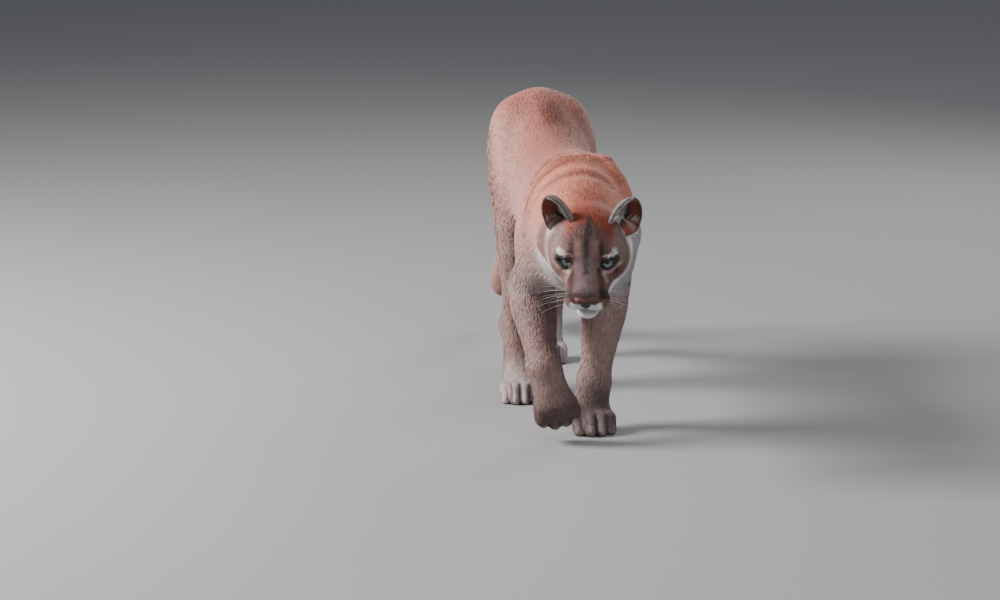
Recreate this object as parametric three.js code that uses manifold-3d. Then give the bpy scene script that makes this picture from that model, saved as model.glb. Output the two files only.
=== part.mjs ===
// A life-size cougar, walking, with its head low and its right forepaw swinging past the left one.
// Millimetres: x runs to the animal's left, y to its rear and z up. The body is laid out with the floor
// at z = 0 and the withers over x = 0, y = 0, and the whole is then moved so that the origin is on the
// floor under the middle of the animal.
// The body is one smooth surface where a blended distance field is zero. It is meshed piece by piece on
// grids as fine as each piece needs, and parted into named pieces with thin flat cuts.
import * as THREE from "three";
import { mergeVertices } from "three/addons/utils/BufferGeometryUtils.js";
import Module from "manifold-3d";

const wasm = await Module();
wasm.setup();

// Driving sizes
const HIP_BACK = 560; // hip joints, behind the withers
const HIP_HEIGHT = 560;
const HIP_SPREAD = 80; // hip joints, from the midline
const FORE_PAW_WIDTH = 98;
const HIND_PAW_WIDTH = 88;
const HEAD_PITCH = 32; // of the head's own forward line, below the level, in degrees
const HEAD_YAW = 16; // to the animal's right
const CUT_GAP = 0.3; // between touching pieces
const FLOOR_TRIM = 2.5; // of padding, cut off flat from each sole

// Vectors as plain arrays
const add = (a, b, s = 1) => [a[0] + b[0] * s, a[1] + b[1] * s, a[2] + b[2] * s];
const sub = (a, b) => add(a, b, -1);
const dot = (a, b) => a[0] * b[0] + a[1] * b[1] + a[2] * b[2];
const cross = (a, b) => [a[1] * b[2] - a[2] * b[1], a[2] * b[0] - a[0] * b[2], a[0] * b[1] - a[1] * b[0]];
const unit = (a) => a.map((v) => v / Math.hypot(...a));
const mix = (a, b, t) => add(a, sub(b, a), t);
const clamp = (v, lo, hi) => Math.min(hi, Math.max(lo, v));
const radians = (degrees) => (degrees * Math.PI) / 180;

// A frame is an origin and three unit axes. place() takes a point in the frame to the body's coordinates.
const WORLD = { o: [0, 0, 0], axes: [[1, 0, 0], [0, 1, 0], [0, 0, 1]] };
const place = (frame, p) => p.reduce((sum, v, i) => add(sum, frame.axes[i], v), frame.o);

// Values at equal steps, joined by a smooth curve through them.
function smoothValue(values, t) {
  const last = values.length - 1;
  const at = clamp(t, 0, 1) * last;
  const i = Math.min(Math.floor(at), last - 1);
  const f = at - i;
  const [a, b, c, d] = [-1, 0, 1, 2].map((n) => values[clamp(i + n, 0, last)]);
  return b + 0.5 * f * (c - a + f * (2 * a - 5 * b + 4 * c - d + f * (3 * (b - c) + d - a)));
}

// Roughly the signed distance from an ellipsoid: the point's length in radii, and how fast that grows.
function eggDistance(u, v, w, ru, rv, rw) {
  const k0 = Math.hypot(u / ru, v / rv, w / rw);
  const k1 = Math.hypot(u / (ru * ru), v / (rv * rv), w / (rw * rw));
  return k1 < 1e-9 ? -Math.min(ru, rv, rw) : (k0 * (k0 - 1)) / k1;
}

// An ellipsoid with its radii along a frame's axes.
function egg(centre, radii, frame = WORLD) {
  const c = place(frame, centre);
  const [a, b, d] = frame.axes;
  return (x, y, z) => {
    const q = [x - c[0], y - c[1], z - c[2]];
    return eggDistance(dot(q, a), dot(q, b), dot(q, d), ...radii);
  };
}

// A muscle or bone: an oval section carried along the line from a to b. Widths are half sizes towards side,
// depths are half sizes square to it, both at equal steps, and the ends are round.
function muscle(a, b, widths, depths, side = [1, 0, 0]) {
  const length = Math.hypot(...sub(b, a));
  const axis = unit(sub(b, a));
  const across = unit(add(side, axis, -dot(side, axis)));
  const third = cross(axis, across);
  return (x, y, z) => {
    const q = [x - a[0], y - a[1], z - a[2]];
    const along = dot(q, axis);
    const t = clamp(along / length, 0, 1);
    const w = smoothValue(widths, t);
    const d = smoothValue(depths, t);
    return eggDistance(along - t * length, dot(q, across), dot(q, third), Math.min(w, d), w, d);
  };
}

// The trunk: an oval section carried along y. Each row is y, the middle's x, the top's and bottom's z, the
// height of the widest place and the half width there.
function trunkSections(rows, nose, rear) {
  return (x, y, z) => {
    const first = rows[0][0];
    const last = rows[rows.length - 1][0];
    const at = clamp(y, first, last);
    const i = clamp(rows.findIndex((r) => r[0] > at) - 1, 0, rows.length - 2);
    const k = at >= last ? rows.length - 2 : i;
    const span = rows[k + 1][0] - rows[k][0];
    const f = (at - rows[k][0]) / span;
    const value = (n) => {
      const before = rows[Math.max(k - 1, 0)];
      const after = rows[Math.min(k + 2, rows.length - 1)];
      const [b, c] = [rows[k][n], rows[k + 1][n]];
      const mb = ((c - before[n]) / (rows[k + 1][0] - before[0])) * span;
      const mc = ((after[n] - b) / (after[0] - rows[k][0])) * span;
      const f2 = f * f;
      const between = b * (1 + f2 * (2 * f - 3)) + c * f2 * (3 - 2 * f);
      return between + mb * (f - 2 * f2 + f2 * f) + mc * f2 * (f - 1);
    };
    const [middle, top, bottom, widest, half] = [1, 2, 3, 4, 5].map(value);
    const height = z > widest ? top - widest : widest - bottom;
    return eggDistance(y - at, x - middle, z - widest, y < first ? nose : rear, half, height);
  };
}

// Joins shapes with fillets about as wide as k.
function blend(k, shapes) {
  return (x, y, z) => {
    let d = shapes[0](x, y, z);
    for (let i = 1; i < shapes.length; i++) {
      const e = shapes[i](x, y, z);
      const h = Math.max(k - Math.abs(d - e), 0) / k;
      d = Math.min(d, e) - (h * h * k) / 4;
    }
    return d;
  };
}

// Takes the second shape out of the first, with the edge rounded over about k.
function carve(k, shape, hollow) {
  return (x, y, z) => {
    const d = shape(x, y, z);
    const e = -hollow(x, y, z);
    const h = Math.max(k - Math.abs(d - e), 0) / k;
    return Math.max(d, e) + (h * h * k) / 4;
  };
}

// Neck, chest, belly, loin and rump
const TRUNK = [
  [-290, -36, 508, 392, 450, 68],
  [-235, -34, 534, 376, 454, 84],
  [-165, -28, 562, 352, 456, 98],
  [-95, -20, 583, 334, 454, 106],
  [-30, -13, 600, 322, 450, 110],
  [40, -8, 604, 318, 448, 112],
  [120, -3, 592, 322, 448, 113],
  [210, 0, 585, 334, 452, 112],
  [300, 0, 592, 350, 460, 107],
  [390, 0, 612, 372, 482, 101],
  [470, 0, 644, 396, 512, 101],
  [545, 0, 668, 424, 545, 106],
  [610, 0, 669, 450, 560, 102],
  [665, 0, 645, 486, 566, 82],
];
const trunk = trunkSections(TRUNK, 40, 36);
const breast = egg([-22, -98, 402], [76, 58, 74]);

// A paw: four toes from the knuckles, a pad beneath, in a frame whose axes are across, forward and up.
function paw(frame, width, sole) {
  const toeRadius = width * 0.145;
  const spread = width / 2 - toeRadius;
  const toes = [-1, -0.35, 0.35, 1].map((s) => {
    const reach = 56 - 13 * s * s;
    const back = place(frame, [s * spread * 0.86, 0, 6 - 3 * s * s]);
    const knuckle = place(frame, [s * spread * 0.98, reach - 22, 7 - 3 * s * s]);
    const tip = place(frame, [s * spread, reach - 4, -sole + toeRadius * 0.86]);
    const [thin, thick] = [toeRadius, toeRadius * 1.1];
    const upper = muscle(back, knuckle, [thin, thick], [thin, thick], frame.axes[0]);
    const lower = muscle(knuckle, tip, [thick, thin * 0.95], [thin * 1.05, thin * 0.9], frame.axes[0]);
    return blend(6, [upper, lower]);
  });
  const heel = egg([0, 2, -sole * 0.5], [width * 0.36, 34, sole * 0.55], frame);
  return blend(5, [...toes, heel]);
}

// A frame at a paw's knuckles, from the way its toes point and the way its back faces.
function pawFrame(ball, toeWay, backWay) {
  const forward = unit(toeWay);
  const across = unit(cross(forward, backWay));
  return { o: ball, axes: [across, forward, cross(across, forward)] };
}

// A foreleg from its joints: shoulder blade, upper arm, forearm, wrist and paw.
function foreleg(j) {
  const out = [j.side, 0, 0];
  const pawAt = pawFrame(j.ball, j.toeWay, j.backWay);
  const tricepsTop = mix(j.bladeTop, add(j.shoulder, [j.side * 6, 150, 30]), 0.75);
  const field = blend(20, [
    muscle(j.bladeTop, j.shoulder, [24, 38, 42, 38], [38, 62, 62, 50], out),
    muscle(j.shoulder, j.elbow, [39, 44, 45, 44], [50, 56, 52, 44], out),
    muscle(tricepsTop, add(j.elbow, [0, 32, 22]), [26, 38, 36, 28], [32, 50, 44, 28], out),
    muscle(j.elbow, j.wrist, [47, 51, 44, 37, 35], [44, 45, 38, 32, 29], out),
    muscle(j.wrist, add(j.ball, pawAt.axes[2], 2), [36, 38, 42], [28, 26, 23], pawAt.axes[0]),
    paw(pawAt, FORE_PAW_WIDTH, j.sole),
  ]);
  return { ...j, field, pawAt, lower: [j.elbow, j.wrist, j.ball] };
}

// A hind leg from its joints: haunch, thigh, shank, hock, metatarsus and paw.
function hindleg(j) {
  const out = [j.side, 0, 0];
  const pawAt = pawFrame(j.ball, j.toeWay, j.backWay);
  const hip = [j.side * HIP_SPREAD, HIP_BACK, HIP_HEIGHT - 20];
  const seat = [j.side * 54, HIP_BACK + 86, HIP_HEIGHT - 20];
  const calf = add(mix(j.knee, j.hock, 0.12), [0, 46, 10]);
  const heel = add(j.hock, j.heelWay);
  const field = blend(20, [
    egg([j.side * 66, HIP_BACK + 2, HIP_HEIGHT - 6], [52, 104, 92]),
    muscle(hip, j.knee, [42, 48, 46, 42], [94, 90, 74, 50], out),
    muscle(seat, calf, [36, 40, 36, 30], [44, 52, 48, 36], out),
    muscle(j.knee, j.hock, [41, 40, 31, 25, 23], [50, 50, 36, 27, 25], out),
    muscle(calf, mix(calf, heel, 0.62), [28, 24, 12], [34, 28, 12], out),
    muscle(mix(calf, heel, 0.5), heel, [11, 10, 16], [12, 10, 17], out),
    egg(mix(j.hock, heel, 0.3), [25, 28, 28]),
    muscle(j.hock, add(j.ball, pawAt.axes[2], 2), [26, 26, 31, 38], [27, 23, 22, 22], pawAt.axes[0]),
    paw(pawAt, HIND_PAW_WIDTH, j.sole),
  ]);
  return { ...j, field, pawAt, lower: [j.knee, j.hock, j.ball, calf, heel], wrist: j.hock };
}

const FORE_SOLE = 30; // from the knuckles' middle to the bottom of the pads
const HIND_SOLE = 29;

const foreLeft = foreleg({
  name: "left_fore",
  side: 1,
  bladeTop: [50, 22, 566],
  shoulder: [73, -62, 440],
  elbow: [66, 46, 316],
  wrist: [34, 32, 100],
  ball: [23, 2, FORE_SOLE - FLOOR_TRIM],
  toeWay: [0.06, -1, 0],
  backWay: [0, 0, 1],
  sole: FORE_SOLE,
});
const foreRight = foreleg({
  name: "right_fore",
  side: -1,
  bladeTop: [-56, -4, 560],
  shoulder: [-92, -82, 430],
  elbow: [-108, 12, 322],
  wrist: [-95, -88, 166],
  ball: [-72, -104, 86],
  toeWay: [0.3, 0.12, -1],
  backWay: [-0.1, -1, -0.1],
  sole: FORE_SOLE,
});
const hindRight = hindleg({
  name: "right_hind",
  side: -1,
  knee: [-84, 408, 384],
  hock: [-86, 424, 142],
  ball: [-90, 306, HIND_SOLE - FLOOR_TRIM],
  heelWay: [0, 22, 16],
  toeWay: [-0.05, -1, 0],
  backWay: [0, 0, 1],
  sole: HIND_SOLE,
});
const hindLeft = hindleg({
  name: "left_hind",
  side: 1,
  knee: [102, 540, 328],
  hock: [62, 728, 172],
  ball: [38, 692, HIND_SOLE - FLOOR_TRIM],
  heelWay: [0, 18, 22],
  toeWay: [0.02, -1, 0],
  backWay: [0, 0, 1],
  sole: HIND_SOLE,
});

// The tail hangs behind the legs and swings low to the right.
const TAIL = [
  [0, 650, 606],
  [-1, 735, 556],
  [-5, 798, 450],
  [-16, 842, 330],
  [-28, 888, 216],
  [-31, 958, 143],
  [-14, 1038, 124],
  [16, 1098, 142],
];
const TAIL_RADII = [44, 37, 34, 32, 31, 31, 30, 25];
const TAIL_STEPS = 3 * (TAIL.length - 1);
const alongTail = (n) => [0, 1, 2].map((axis) => smoothValue(TAIL.map((p) => p[axis]), n / TAIL_STEPS));
const tail = blend(
  5,
  Array.from({ length: TAIL_STEPS }, (_, n) => {
    const ends = [n, n + 1].map((m) => smoothValue(TAIL_RADII, m / TAIL_STEPS));
    return muscle(alongTail(n), alongTail(n + 1), ends, ends);
  }),
);

// The head's own frame: axes to its left, to its back and up, turned by the head's yaw and pitch, from a
// point low behind the brow. inHead() takes a place as far left, forward along the palate and up.
const forwardLevel = [-Math.sin(radians(HEAD_YAW)), -Math.cos(radians(HEAD_YAW)), 0];
const headForward = add(
  forwardLevel.map((v) => v * Math.cos(radians(HEAD_PITCH))),
  [0, 0, -Math.sin(radians(HEAD_PITCH))],
);
const headBack = headForward.map((v) => -v);
const headLeft = unit(cross(headBack, [0, 0, 1]));
const headUp = cross(headLeft, headBack);
const HEAD = { o: [-32, -298, 440], axes: [headLeft, headBack, headUp] };
const inHead = (left, forward, up) => place(HEAD, [left, -forward, up]);
const headEgg = (left, forward, up, rl, rf, ru) => egg([left, -forward, up], [rl, rf, ru], HEAD);
const headBar = (a, b, widths, depths) => muscle(inHead(...a), inHead(...b), widths, depths, headLeft);
const pair = (make) => [make(1), make(-1)];

// Eyes
const EYE = { left: 39, forward: 33, up: 17, radius: 17 };
const EYE_AIM = unit([0.26, 0.84, 0.46]); // left, forward and up, for the left eye
const LID = 2.6; // thickness
const OPENING = [18, 9.5]; // half the width and height between the lids
const OPENING_SLANT = 16; // the inner corner is the lower one, in degrees
const eyeAt = (s, reach) => {
  const [l, f, u] = add([EYE.left, EYE.forward, EYE.up], EYE_AIM, reach);
  return [s * l, f, u];
};

const skull = blend(16, [
  headEgg(0, -26, 14, 60, 78, 56), // cranium
  headEgg(0, 20, 20, 47, 46, 37), // brow
  ...pair((s) => headEgg(s * 40, 4, -6, 38, 48, 40)), // cheekbones
  ...pair((s) => headEgg(s * 43, -34, -24, 38, 48, 48)), // cheek ruff
  ...pair((s) => headBar([s * 38, -18, -46], [s * 15, 80, -54], [28, 22, 16], [28, 22, 18])), // jaw
  ...pair((s) => headEgg(s * 25, 56, -8, 26, 36, 27)), // upper jaw
  headBar([0, 34, 4], [0, 104, -13], [42, 36, 34], [35, 30, 25]), // muzzle
]);
const face = blend(9, [
  skull,
  headBar([0, 36, 28], [0, 108, 0], [20, 18, 15], [14, 13, 11]), // bridge of the nose
  headEgg(0, 110, -8, 17, 11, 12), // behind the nose pad
  ...pair((s) => headEgg(s * 21, 98, -27, 26, 27, 21)), // whisker pads
  headEgg(0, 92, -60, 24, 26, 16), // chin
]);
const socketed = carve(14, face, blend(4, pair((s) => headEgg(...eyeAt(s, 28), 20, 12, 13))));
const lidRadii = [0, 0, 0].fill(EYE.radius + LID);
const head = blend(6, [socketed, ...pair((s) => headEgg(...eyeAt(s, 0), ...lidRadii))]);

// The nose pad: broad above, narrow towards the lip, with a nostril at either side.
const padShape = blend(5, [headEgg(0, 118, -3, 20, 9.5, 8), headEgg(0, 121, -12, 13.5, 8.5, 12)]);
const NOSTRIL = { at: [11, 128, -9], radii: [5, 8, 3.2] };

// The whole body's field. Legs blend with the trunk but never with one another.
const LEG_FILLET = 30;
const blended = (k, d, e) => Math.min(d, e) - (Math.max(k - Math.abs(d - e), 0) ** 2 / k) * 0.25;
const spine = blend(26, [blend(34, [trunk, breast, head]), tail]);
const legs = [foreLeft, foreRight, hindLeft, hindRight];
function body(x, y, z) {
  const d = spine(x, y, z);
  return Math.min(...legs.map((leg) => blended(LEG_FILLET, d, leg.field(x, y, z))));
}

// The zero surface of a field as a closed mesh, on a grid given by three lists of lines in a frame: one
// vertex in each cell that the surface crosses, moved onto it along the field's slope, and one face across
// each grid line that it cuts.
function surface(field, frame, lines, offset = 0) {
  const counts = lines.map((line) => line.length - 1);
  const size = counts.map((n) => n + 1);
  const index = (a) => (a[0] * size[1] + a[1]) * size[2] + a[2];
  const depth = (p) => field(...place(frame, p)) - offset;
  const onRim = (a) => a.some((n, axis) => n === 0 || n === counts[axis]);
  const value = new Float64Array(size[0] * size[1] * size[2]).fill(1);
  const cells = [];
  const BLOCK = 4;
  for (let i = 0; i < size[0]; i += BLOCK)
    for (let j = 0; j < size[1]; j += BLOCK)
      for (let k = 0; k < size[2]; k += BLOCK) {
        const lo = [i, j, k];
        const hi = lo.map((n, a) => Math.min(n + BLOCK, counts[a]));
        const ends = [lo, hi].map((c) => c.map((n, a) => lines[a][n]));
        const middle = mix(ends[0], ends[1], 0.5);
        if (depth(middle) > 0.75 * Math.hypot(...sub(ends[1], ends[0]))) continue;
        for (let a = i; a < Math.min(i + BLOCK, size[0]); a++)
          for (let b = j; b < Math.min(j + BLOCK, size[1]); b++)
            for (let c = k; c < Math.min(k + BLOCK, size[2]); c++) {
              const at = [a, b, c];
              const d = depth(at.map((n, axis) => lines[axis][n]));
              value[index(at)] = onRim(at) ? Math.max(d, 1e-3) : d;
            }
      }
  // A grid square whose corners lie in and out by turns would pinch the surface, so the one of its corners
  // that is nearest the surface changes sides.
  for (let round = 0, changed = true; changed && round < 20; round++) {
    changed = false;
    for (let i = 0; i < size[0]; i++)
      for (let j = 0; j < size[1]; j++)
        for (let k = 0; k < size[2]; k++)
          for (let axis = 0; axis < 3; axis++) {
            const [m, n] = [(axis + 1) % 3, (axis + 2) % 3];
            const square = [[0, 0], [1, 0], [1, 1], [0, 1]].map(([p, q]) => {
              const a = [i, j, k];
              a[m] += p;
              a[n] += q;
              return a;
            });
            if (square[2][m] > counts[m] || square[2][n] > counts[n]) continue;
            const inside = square.map((a) => value[index(a)] < 0);
            if (inside[0] !== inside[2] || inside[1] !== inside[3] || inside[0] === inside[1]) continue;
            const least = square
              .filter((a) => !onRim(a))
              .sort((a, b) => Math.abs(value[index(a)]) - Math.abs(value[index(b)]))[0];
            value[index(least)] *= -1;
            changed = true;
          }
  }
  const positions = [];
  const vertexOf = new Map();
  for (let i = 0; i < counts[0]; i++)
    for (let j = 0; j < counts[1]; j++)
      for (let k = 0; k < counts[2]; k++) {
        let sum = [0, 0, 0];
        let crossings = 0;
        for (let axis = 0; axis < 3; axis++)
          for (let corner = 0; corner < 4; corner++) {
            const a = [i, j, k];
            a[(axis + 1) % 3] += corner & 1;
            a[(axis + 2) % 3] += corner >> 1;
            const b = a.slice();
            b[axis]++;
            const [va, vb] = [value[index(a)], value[index(b)]];
            if (va < 0 === vb < 0) continue;
            const [pa, pb] = [a, b].map((c) => c.map((n, m) => lines[m][n]));
            sum = add(sum, mix(pa, pb, va / (va - vb)));
            crossings++;
          }
        if (!crossings) continue;
        let p = sum.map((v) => v / crossings);
        const inner = [i, j, k].every((n, a) => n > 0 && n < counts[a] - 1);
        for (let round = 0; inner && round < 3; round++) {
          const d = depth(p);
          const slope = [0, 1, 2].map((n) => {
            const q = p.slice();
            q[n] += 0.4;
            return (depth(q) - d) / 0.4;
          });
          p = add(p, slope, -clamp(d / Math.max(dot(slope, slope), 0.2), -3, 3));
        }
        p = p.map((v, a) => clamp(v, lines[a][[i, j, k][a]], lines[a][[i, j, k][a] + 1]));
        vertexOf.set(index([i, j, k]), positions.length / 3);
        positions.push(...place(frame, p));
      }
  const faces = [];
  const length = (m, n) => Math.hypot(...[0, 1, 2].map((c) => positions[3 * m + c] - positions[3 * n + c]));
  for (let i = 0; i < counts[0]; i++)
    for (let j = 0; j < counts[1]; j++)
      for (let k = 0; k < counts[2]; k++)
        for (let axis = 0; axis < 3; axis++) {
          const a = [i, j, k];
          if (!a[(axis + 1) % 3] || !a[(axis + 2) % 3]) continue;
          const b = a.slice();
          b[axis]++;
          const [va, vb] = [value[index(a)], value[index(b)]];
          if (va < 0 === vb < 0) continue;
          const quad = [[1, 1], [0, 1], [0, 0], [1, 0]].map(([m, n]) => {
            const c = a.slice();
            c[(axis + 1) % 3] -= m;
            c[(axis + 2) % 3] -= n;
            return vertexOf.get(index(c));
          });
          if (va >= 0) quad.reverse();
          const [p, q, r, s] = quad;
          if (length(p, r) < length(q, s)) faces.push(p, q, r, p, r, s);
          else faces.push(p, q, s, q, r, s);
        }
  return solid(new Float32Array(positions), new Uint32Array(faces));
}

// Numbers from the first to the last with the steps written between them: spaced(0, 5, 10, 2, 14)
// is 0, 5, 10, 12, 14.
function spaced(...stops) {
  const line = [stops[0]];
  for (let i = 1; i < stops.length; i += 2) {
    const [from, step, to] = [stops[i - 1], stops[i], stops[i + 1]];
    const count = Math.max(1, Math.round((to - from) / step));
    for (let n = 1; n <= count; n++) line.push(from + ((to - from) * n) / count);
  }
  return line;
}

// Solids that can be joined and cut, from plain arrays or from three.js shapes
function solid(vertProperties, triVerts) {
  return new wasm.Manifold(new wasm.Mesh({ numProp: 3, vertProperties, triVerts }));
}
function solidOf(geometry) {
  const plain = geometry.clone();
  plain.deleteAttribute("normal");
  plain.deleteAttribute("uv");
  const merged = mergeVertices(plain, 1e-4);
  return solid(new Float32Array(merged.attributes.position.array), new Uint32Array(merged.index.array));
}

// Everything on the far side of a plane, seen from where its way points away
const HALF = 1500;
function beyond(point, way, gap = 0) {
  const [up, wanted] = [new THREE.Vector3(0, 0, 1), new THREE.Vector3(...unit(way))];
  const turn = new THREE.Quaternion().setFromUnitVectors(up, wanted);
  const box = new THREE.BoxGeometry(2 * HALF, 2 * HALF, HALF).translate(0, 0, HALF / 2 + gap);
  return solidOf(box.applyQuaternion(turn).translate(...point));
}
const opposite = (way) => way.map((v) => -v);
const before = (point, way, gap = 0) => beyond(point, opposite(way), gap);

// The room inside a set of planes, each a point and the way out, grown by a gap on every side
const room = (planes, gap = 0) =>
  planes.map(([p, way]) => before(p, way, -gap)).reduce((a, b) => a.intersect(b));
const largest = (made) => made.decompose().sort((a, b) => b.volume() - a.volume())[0];

// A shape that is laid out in the head's axes, moved to a place in the head
function headSolid(geometry, centre) {
  const turn = new THREE.Matrix4().makeBasis(...HEAD.axes.map((a) => new THREE.Vector3(...a)));
  return solidOf(geometry.applyMatrix4(turn).translate(...inHead(...centre)));
}

// A smooth egg with its radii along the head's axes
function eggSolid(centre, radii, around = 14, rows = 10) {
  const sphere = new THREE.SphereGeometry(1, around, rows).rotateX(Math.PI / 2).scale(...radii);
  return headSolid(sphere, centre);
}

// Draws the ends of every edge shorter than the tolerance together, and drops the slivers this closes.
function welded(mesh, tolerance = 0.08) {
  const at = (i) => Array.from(mesh.vertProperties.slice(3 * i, 3 * i + 3));
  const same = new Map();
  const root = (i) => (same.has(i) ? root(same.get(i)) : i);
  const corners = mesh.triVerts;
  for (let t = 0; t < corners.length; t += 3)
    for (const [i, j] of [[0, 1], [1, 2], [2, 0]]) {
      const [p, q] = [root(corners[t + i]), root(corners[t + j])];
      if (p !== q && Math.hypot(...sub(at(p), at(q))) < tolerance) same.set(Math.max(p, q), Math.min(p, q));
    }
  const kept = new Map();
  for (let t = 0; t < corners.length; t += 3) {
    const face = [0, 1, 2].map((n) => root(corners[t + n]));
    if (new Set(face).size < 3) continue;
    const key = face.slice().sort((a, b) => a - b).join();
    if (kept.has(key)) kept.delete(key);
    else kept.set(key, face);
  }
  return [...kept.values()].flat();
}

const pieces = [];
function piece(name, made, material) {
  const mesh = largest(made).getMesh();
  const geometry = new THREE.BufferGeometry();
  geometry.setAttribute("position", new THREE.BufferAttribute(new Float32Array(mesh.vertProperties), 3));
  geometry.setIndex(welded(mesh));
  const shown = new THREE.Mesh(geometry, material);
  shown.name = name;
  pieces.push(shown);
}

// The coat's main colours
const coat = (color) => new THREE.MeshStandardMaterial({ color, roughness: 0.85, metalness: 0 });
const TAWNY = coat("#a9735a");
const RUFOUS = coat("#a5583a");
const PALE = coat("#b9a49a");
const GREY_FACE = coat("#8c6a5f");
const noseLeather = new THREE.MeshStandardMaterial({ color: "#6e4434", roughness: 0.5, metalness: 0 });
const eyeSurface = new THREE.MeshStandardMaterial({ color: "#8fa3a6", roughness: 0.12, metalness: 0 });

const group = new THREE.Group();

// Head
const HEAD_LINES = [
  spaced(-104, 14, -62, 9.5, 62, 14, 104),
  spaced(-144, 9.4, -30, 20, 130),
  spaced(-114, 9.3, 44, 14, 96),
];
const NAPE = [[-30, -212, 458], unit([-0.2, -1, -0.12])];
const headMesh = surface(body, HEAD, HEAD_LINES);
const headSkin = surface(body, HEAD, HEAD_LINES, CUT_GAP);
const PAD_LINES = [spaced(-26, 5.2, 26), spaced(-136, 5.4, -104), spaced(-28, 4.9, 11)];
const [nostrilLeft, ...nostrilDeep] = NOSTRIL.at;
const nostrils = pair((s) => eggSolid([s * nostrilLeft, ...nostrilDeep], NOSTRIL.radii, 10, 8));
const nose = nostrils.reduce((pad, hole) => pad.subtract(hole), surface(padShape, HEAD, PAD_LINES));
const noseRoom = surface(padShape, HEAD, PAD_LINES, CUT_GAP + 0.15);
const eyeBall = (s, grow) => eggSolid(eyeAt(s, 0), [0, 0, 0].fill(EYE.radius + grow));
const eyeCuts = pair((s) => eyeBall(s, CUT_GAP));
const openings = pair((s) => {
  const plug = new THREE.SphereGeometry(1, 16, 8).scale(OPENING[0], 12, OPENING[1]);
  plug.rotateY(s * -radians(OPENING_SLANT)).rotateX(-Math.asin(EYE_AIM[2]));
  plug.rotateZ(s * Math.atan2(EYE_AIM[0], EYE_AIM[1]));
  return headSolid(plug, eyeAt(s, 14));
});

// The mouth's line runs under the whisker pads from corner to corner, with a short groove up to the nose.
const GROOVE = 2;
const LIP_LINE = [[42, 40, -34], [37, 64, -43], [24, 92, -45], [9, 114, -41], [0, 119, -38]];
const PHILTRUM = [[0, 126, -18], [0, 124, -28], [0, 119, -38]];
function grooveSolid(points) {
  const onto = points.map((p) => {
    let q = inHead(...p);
    for (let round = 0; round < 6; round++) {
      const d = head(...q);
      const slope = [0, 1, 2].map((n) => (head(...add(q, WORLD.axes[n], 0.4)) - d) / 0.4);
      q = add(q, slope, -d / Math.max(dot(slope, slope), 0.2));
    }
    return new THREE.Vector3(...q);
  });
  const round = new THREE.Shape().absarc(0, 0, GROOVE, 0, 2 * Math.PI);
  const extrudePath = new THREE.CatmullRomCurve3(onto);
  const options = { steps: points.length * 3, curveSegments: 3, bevelEnabled: false, extrudePath };
  return solidOf(new THREE.ExtrudeGeometry(round, options));
}
const rightLip = LIP_LINE.slice(0, -1).reverse().map(([l, f, u]) => [-l, f, u]);
const mouth = [grooveSolid([...LIP_LINE, ...rightLip]), grooveSolid(PHILTRUM)];

// Ears: thin cups, round at the tip, that open forward and outward
const EAR = { across: 33, deep: 23, tall: 62, wall: 4 };
const EAR_TURN = { base: [65, -41, 50], outward: 22, lean: 21, back: 4 };
const ears = pair((s) => {
  const cup = (grow, forward) =>
    new THREE.SphereGeometry(1, 16, 12)
      .rotateX(Math.PI / 2)
      .scale(EAR.across + grow, EAR.deep + grow * 0.6, EAR.tall + grow)
      .translate(0, -forward, 0);
  const front = new THREE.BoxGeometry(200, 100, 300).translate(0, -50 - 5, 0);
  const [l, f, u] = EAR_TURN.base;
  const matrix = new THREE.Matrix4().makeBasis(...HEAD.axes.map((a) => new THREE.Vector3(...a)));
  matrix.setPosition(...inHead(s * l, f, u));
  matrix.multiply(new THREE.Matrix4().makeRotationZ(s * radians(EAR_TURN.outward)));
  matrix.multiply(new THREE.Matrix4().makeRotationY(s * radians(EAR_TURN.lean)));
  matrix.multiply(new THREE.Matrix4().makeRotationX(-radians(EAR_TURN.back)));
  const turned = [cup(0, 0), cup(-EAR.wall, 4), front].map((g) => solidOf(g.applyMatrix4(matrix)));
  const [outer, inner, opening] = turned;
  return outer.subtract(inner).subtract(opening).subtract(headSkin);
});

let skullSolid = headMesh.intersect(beyond(...NAPE, CUT_GAP / 2)).subtract(noseRoom);
for (const cut of [...openings, ...eyeCuts, ...mouth]) skullSolid = skullSolid.subtract(cut);
piece("head", skullSolid, GREY_FACE);
piece("nose", nose, noseLeather);
["left", "right"].forEach((name, i) => {
  const s = i ? -1 : 1;
  piece(`eye_${name}`, eyeBall(s, 0), eyeSurface);
  piece(`ear_${name}`, ears[i], GREY_FACE);
});

// Trunk, and the shoulders and thighs that are parted from it. Each is the room inside some planes, open
// below, and stops at a cut across the elbow or knee.
const TRUNK_LINES = [spaced(-200, 24.6, 180), spaced(-275, 34, 780), spaced(205, 23, 405, 29, 716)];
const trunkMesh = surface(body, WORLD, TRUNK_LINES);
const SHOULDER_FRONT = [[-10, -104, 470], unit([-0.1, -1, 0.35])];
const LOIN_CUT = [[0, 268, 460], [0, 1, 0]];
const RUMP_CUT = [[0, 436, 500], [0, 1, 0]];
const TAIL_ROOT = [[0, 722, 572], unit([0, 1, -0.2])];
const TAIL_CUTS = [
  [TAIL[3], sub(TAIL[4], TAIL[2])],
  [TAIL[5], sub(TAIL[6], TAIL[4])],
];
const ELBOW_CUT = [[0, 0, 292], [0, 0, -1]];
const THIGH_BACK = [[0, 716, 560], [0, 1, 0]];
const THIGH_TOP = [[0, 560, 612], [0, -0.35, 1]];
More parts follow.
